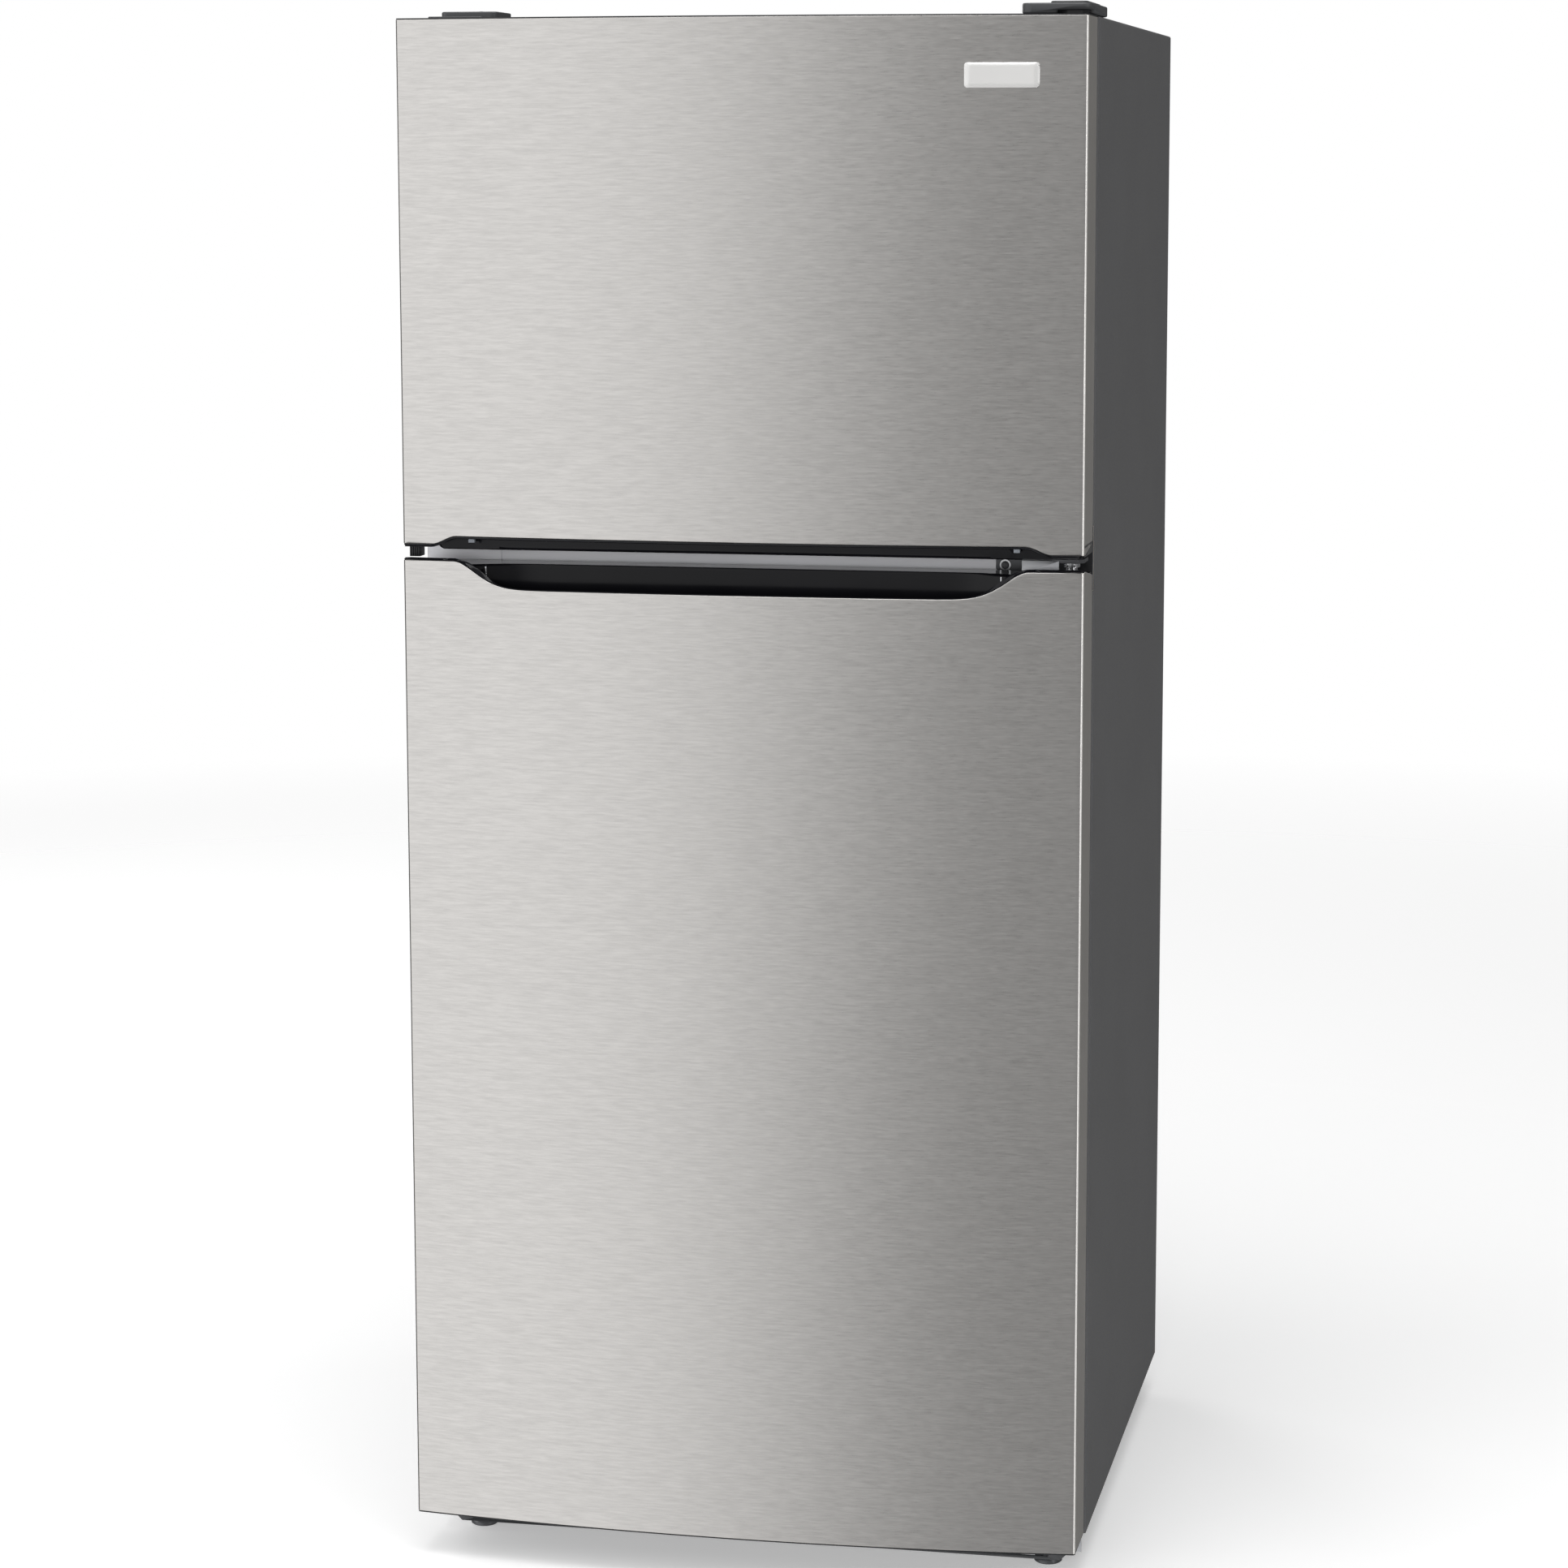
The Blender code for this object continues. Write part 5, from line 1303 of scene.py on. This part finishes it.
def toe_grille():
    """A slotted kick plate with sloping ends and a folded top."""
    low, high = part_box("toe_grille")
    foot, inset, slope = low.z + 0.005, 0.009, 0.010
    outline = [
        (low.x + inset + slope, foot), (high.x - inset - slope, foot), (high.x - inset, foot + slope),
        (high.x - inset, high.z), (low.x + inset, high.z), (low.x + inset, foot + slope),
    ]
    slots = [
        rounded(x0, z0, x0 + 0.150, z0 + 0.0036, 0.0017, 4)
        for x0 in (-0.340, -0.166, 0.016, 0.190)
        for z0 in (0.0165, 0.0230, 0.0295)
    ]
    face = plate("grille_face", "Y", outline, low.y, low.y + 0.0026, COVER_GREY, 0.0005, slots)
    fold = block(
        "grille_fold", (low.x + inset + 0.002, low.y + 0.002, high.z - 0.0022),
        (high.x - inset - 0.002, high.y, high.z), COVER_GREY, 0.0005,
    )
    place_piece(join("toe_grille_cover", [face, fold]), "cabinet", "dark_plastic", "toe_grille")


freezer_door()
fresh_door()
center_hinge()
gasket("freezer_seal", "freezer_gasket", "freezer_door")
gasket("fresh_food_seal", "fresh_food_gasket", "fresh_food_door")
door_fittings()
crispers()
framed_pane("upper_shelf", "glass_shelf_upper", "shelf_glass")
framed_pane("lower_shelf", "glass_shelf_lower", "shelf_glass")
framed_pane("crisper_lid", "crisper_cover", "shelf_glass")
wire_shelf()
controls()
evaporator_details()
liner_ribs()
top_covers()
feet()
rear_details()
machine_space()
toe_grille()


# ---- finishes of the CAD nodes that stay ----
CAD_FINISHES = {
    CHARCOAL: ("cabinet_wrapper", "base_frame"), ZINC: ("rear_panel", "machine_cover", "bottom_hinge"),
    # The mullion pieces take the grey that is made paler as painted light.
    MULLION_GREY_AND_PAINTED_LIGHT: ("mullion_rail", "mullion_cover_plate"),
    WHITE: (
        "freezer_liner", "fresh_food_liner", "freezer_door_liner", "fresh_food_door_liner",
        "evaporator_cover", "light_switch_plunger",
    ),
    CLEAR: ("dairy_lid",),
    BLACK_MATT: (
        "freezer_top_cap", "fresh_food_bottom_cap", "top_hinge", "drain_pan", "condenser_fan",
        "condenser_fan_shroud", "evaporator_fan",
    ),
    BLACK_STEEL: ("condenser_coil",), ALUMINIUM: ("evaporator_coil",),
    FOAM: ("cabinet_insulation", "freezer_door_insulation", "fresh_food_door_insulation"),
}
for finish, names in CAD_FINISHES.items():
    for node in names:
        for slot in nodes[node].material_slots:
            slot.material = finish


# ---- stage, light and camera ----
def soft_light(name, place, target, width, height, power, color=(1.0, 1.0, 1.0)):
    data = bpy.data.lights.new(name, "AREA")
    data.shape = "RECTANGLE"
    data.size = width
    data.size_y = height
    data.energy = power
    data.color = color
    light = bpy.data.objects.new(name, data)
    light.location = place
    light.rotation_euler = (Vector(target) - Vector(place)).to_track_quat("-Z", "Y").to_euler()
    bpy.context.scene.collection.objects.link(light)
    return light


GLOW = (  # direction, cosines where it starts and is full, strength before and after
    ((0.0, -1.0, 0.0), -0.3, 0.6, 0.13, 0.33),
    ((-0.643, -0.766, 0.0), 0.76, 0.965, 0.0, 0.82),
)


def world_glow(tree):
    """Soft surroundings: bright front left, dim front right, dark behind, and white to the camera."""
    place = tree.nodes.new("ShaderNodeTexCoord")
    flat = tree.nodes.new("ShaderNodeVectorMath")
    flat.operation = "MULTIPLY"
    flat.inputs[1].default_value = (1.0, 1.0, 0.0)
    tree.links.new(place.outputs["Generated"], flat.inputs[0])
    level = tree.nodes.new("ShaderNodeVectorMath")
    level.operation = "NORMALIZE"
    tree.links.new(flat.outputs["Vector"], level.inputs[0])
    strength = None
    for toward, start, end, low, high in GLOW:
        facing = tree.nodes.new("ShaderNodeVectorMath")
        facing.operation = "DOT_PRODUCT"
        facing.inputs[1].default_value = toward
        tree.links.new(level.outputs["Vector"], facing.inputs[0])
        spread = tree.nodes.new("ShaderNodeMapRange")
        spread.interpolation_type = "SMOOTHSTEP"
        for socket, value in (("From Min", start), ("From Max", end), ("To Min", low), ("To Max", high)):
            spread.inputs[socket].default_value = value
        tree.links.new(facing.outputs["Value"], spread.inputs["Value"])
        if strength is None:
            strength = spread.outputs["Result"]
            continue
        add = tree.nodes.new("ShaderNodeMath")
        add.operation = "ADD"
        tree.links.new(strength, add.inputs[0])
        tree.links.new(spread.outputs["Result"], add.inputs[1])
        strength = add.outputs[0]
    path = tree.nodes.new("ShaderNodeLightPath")
    seen = tree.nodes.new("ShaderNodeMix")
    seen.inputs["B"].default_value = 1.0
    tree.links.new(path.outputs["Is Camera Ray"], seen.inputs["Factor"])
    tree.links.new(strength, seen.inputs["A"])
    tree.links.new(seen.outputs["Result"], tree.nodes["Background"].inputs["Strength"])


def studio():
    floor_finish = new_finish("pale_floor", (0.93, 0.93, 0.93), 0.6, Emission_Strength=0.32)
    floor_finish.node_tree.nodes["Principled BSDF"].inputs["Emission Color"].default_value = (
        1.0, 1.0, 1.0, 1.0,
    )
    tree = floor_finish.node_tree
    place = tree.nodes.new("ShaderNodeTexCoord")
    length = tree.nodes.new("ShaderNodeVectorMath")
    length.operation = "LENGTH"
    tree.links.new(place.outputs["Object"], length.inputs[0])
    fade = between(tree, length.outputs["Value"], 1.0, 0.0, 1.2, 6.0)
    tree.links.new(fade, tree.nodes["Principled BSDF"].inputs["Alpha"])
    floor = turned("floor", [(0.0, 0.0), (8.0, 0.0)], (0, 0, 0), UP, floor_finish, 64)
    floor.visible_glossy = False

    world = bpy.data.worlds.new("studio")
    bpy.context.scene.world = world
    world.use_nodes = True
    world.node_tree.nodes["Background"].inputs["Color"].default_value = (1.0, 1.0, 1.0, 1.0)
    world_glow(world.node_tree)

    target = (0.0, -0.2, 0.9)
    soft_light("left_softbox", (-4.6, -1.6, 1.9), target, 2.2, 2.6, 30)
    soft_light("right_strip", (3.6, -2.6, 1.1), target, 0.35, 3.4, 20)
    soft_light("top_softbox", (0.4, -0.8, 4.4), (0.0, 0.0, 0.9), 3.0, 3.0, 95)
    soft_light("rear_softbox", (-2.8, 3.6, 2.4), target, 2.6, 2.2, 42)
    fill = soft_light("front_fill", (0.3, -4.8, 1.4), (0.0, -0.3, 1.15), 1.6, 0.8, 60)
    fill.visible_glossy = False
    bpy.context.scene.view_settings.view_transform = "Standard"


def camera():
    data = bpy.data.cameras.new("camera")
    data.lens = 90.51
    data.sensor_width = 36.0
    data.shift_x = -0.0302
    data.shift_y = -0.036
    data.clip_end = 100.0
    made = bpy.data.objects.new("camera", data)
    made.location = (0.925, -4.582, 1.587)
    made.rotation_euler = (math.radians(90 - 8.140), 0.0, math.radians(11.070))
    bpy.context.scene.collection.objects.link(made)
    bpy.context.scene.camera = made


studio()
camera()
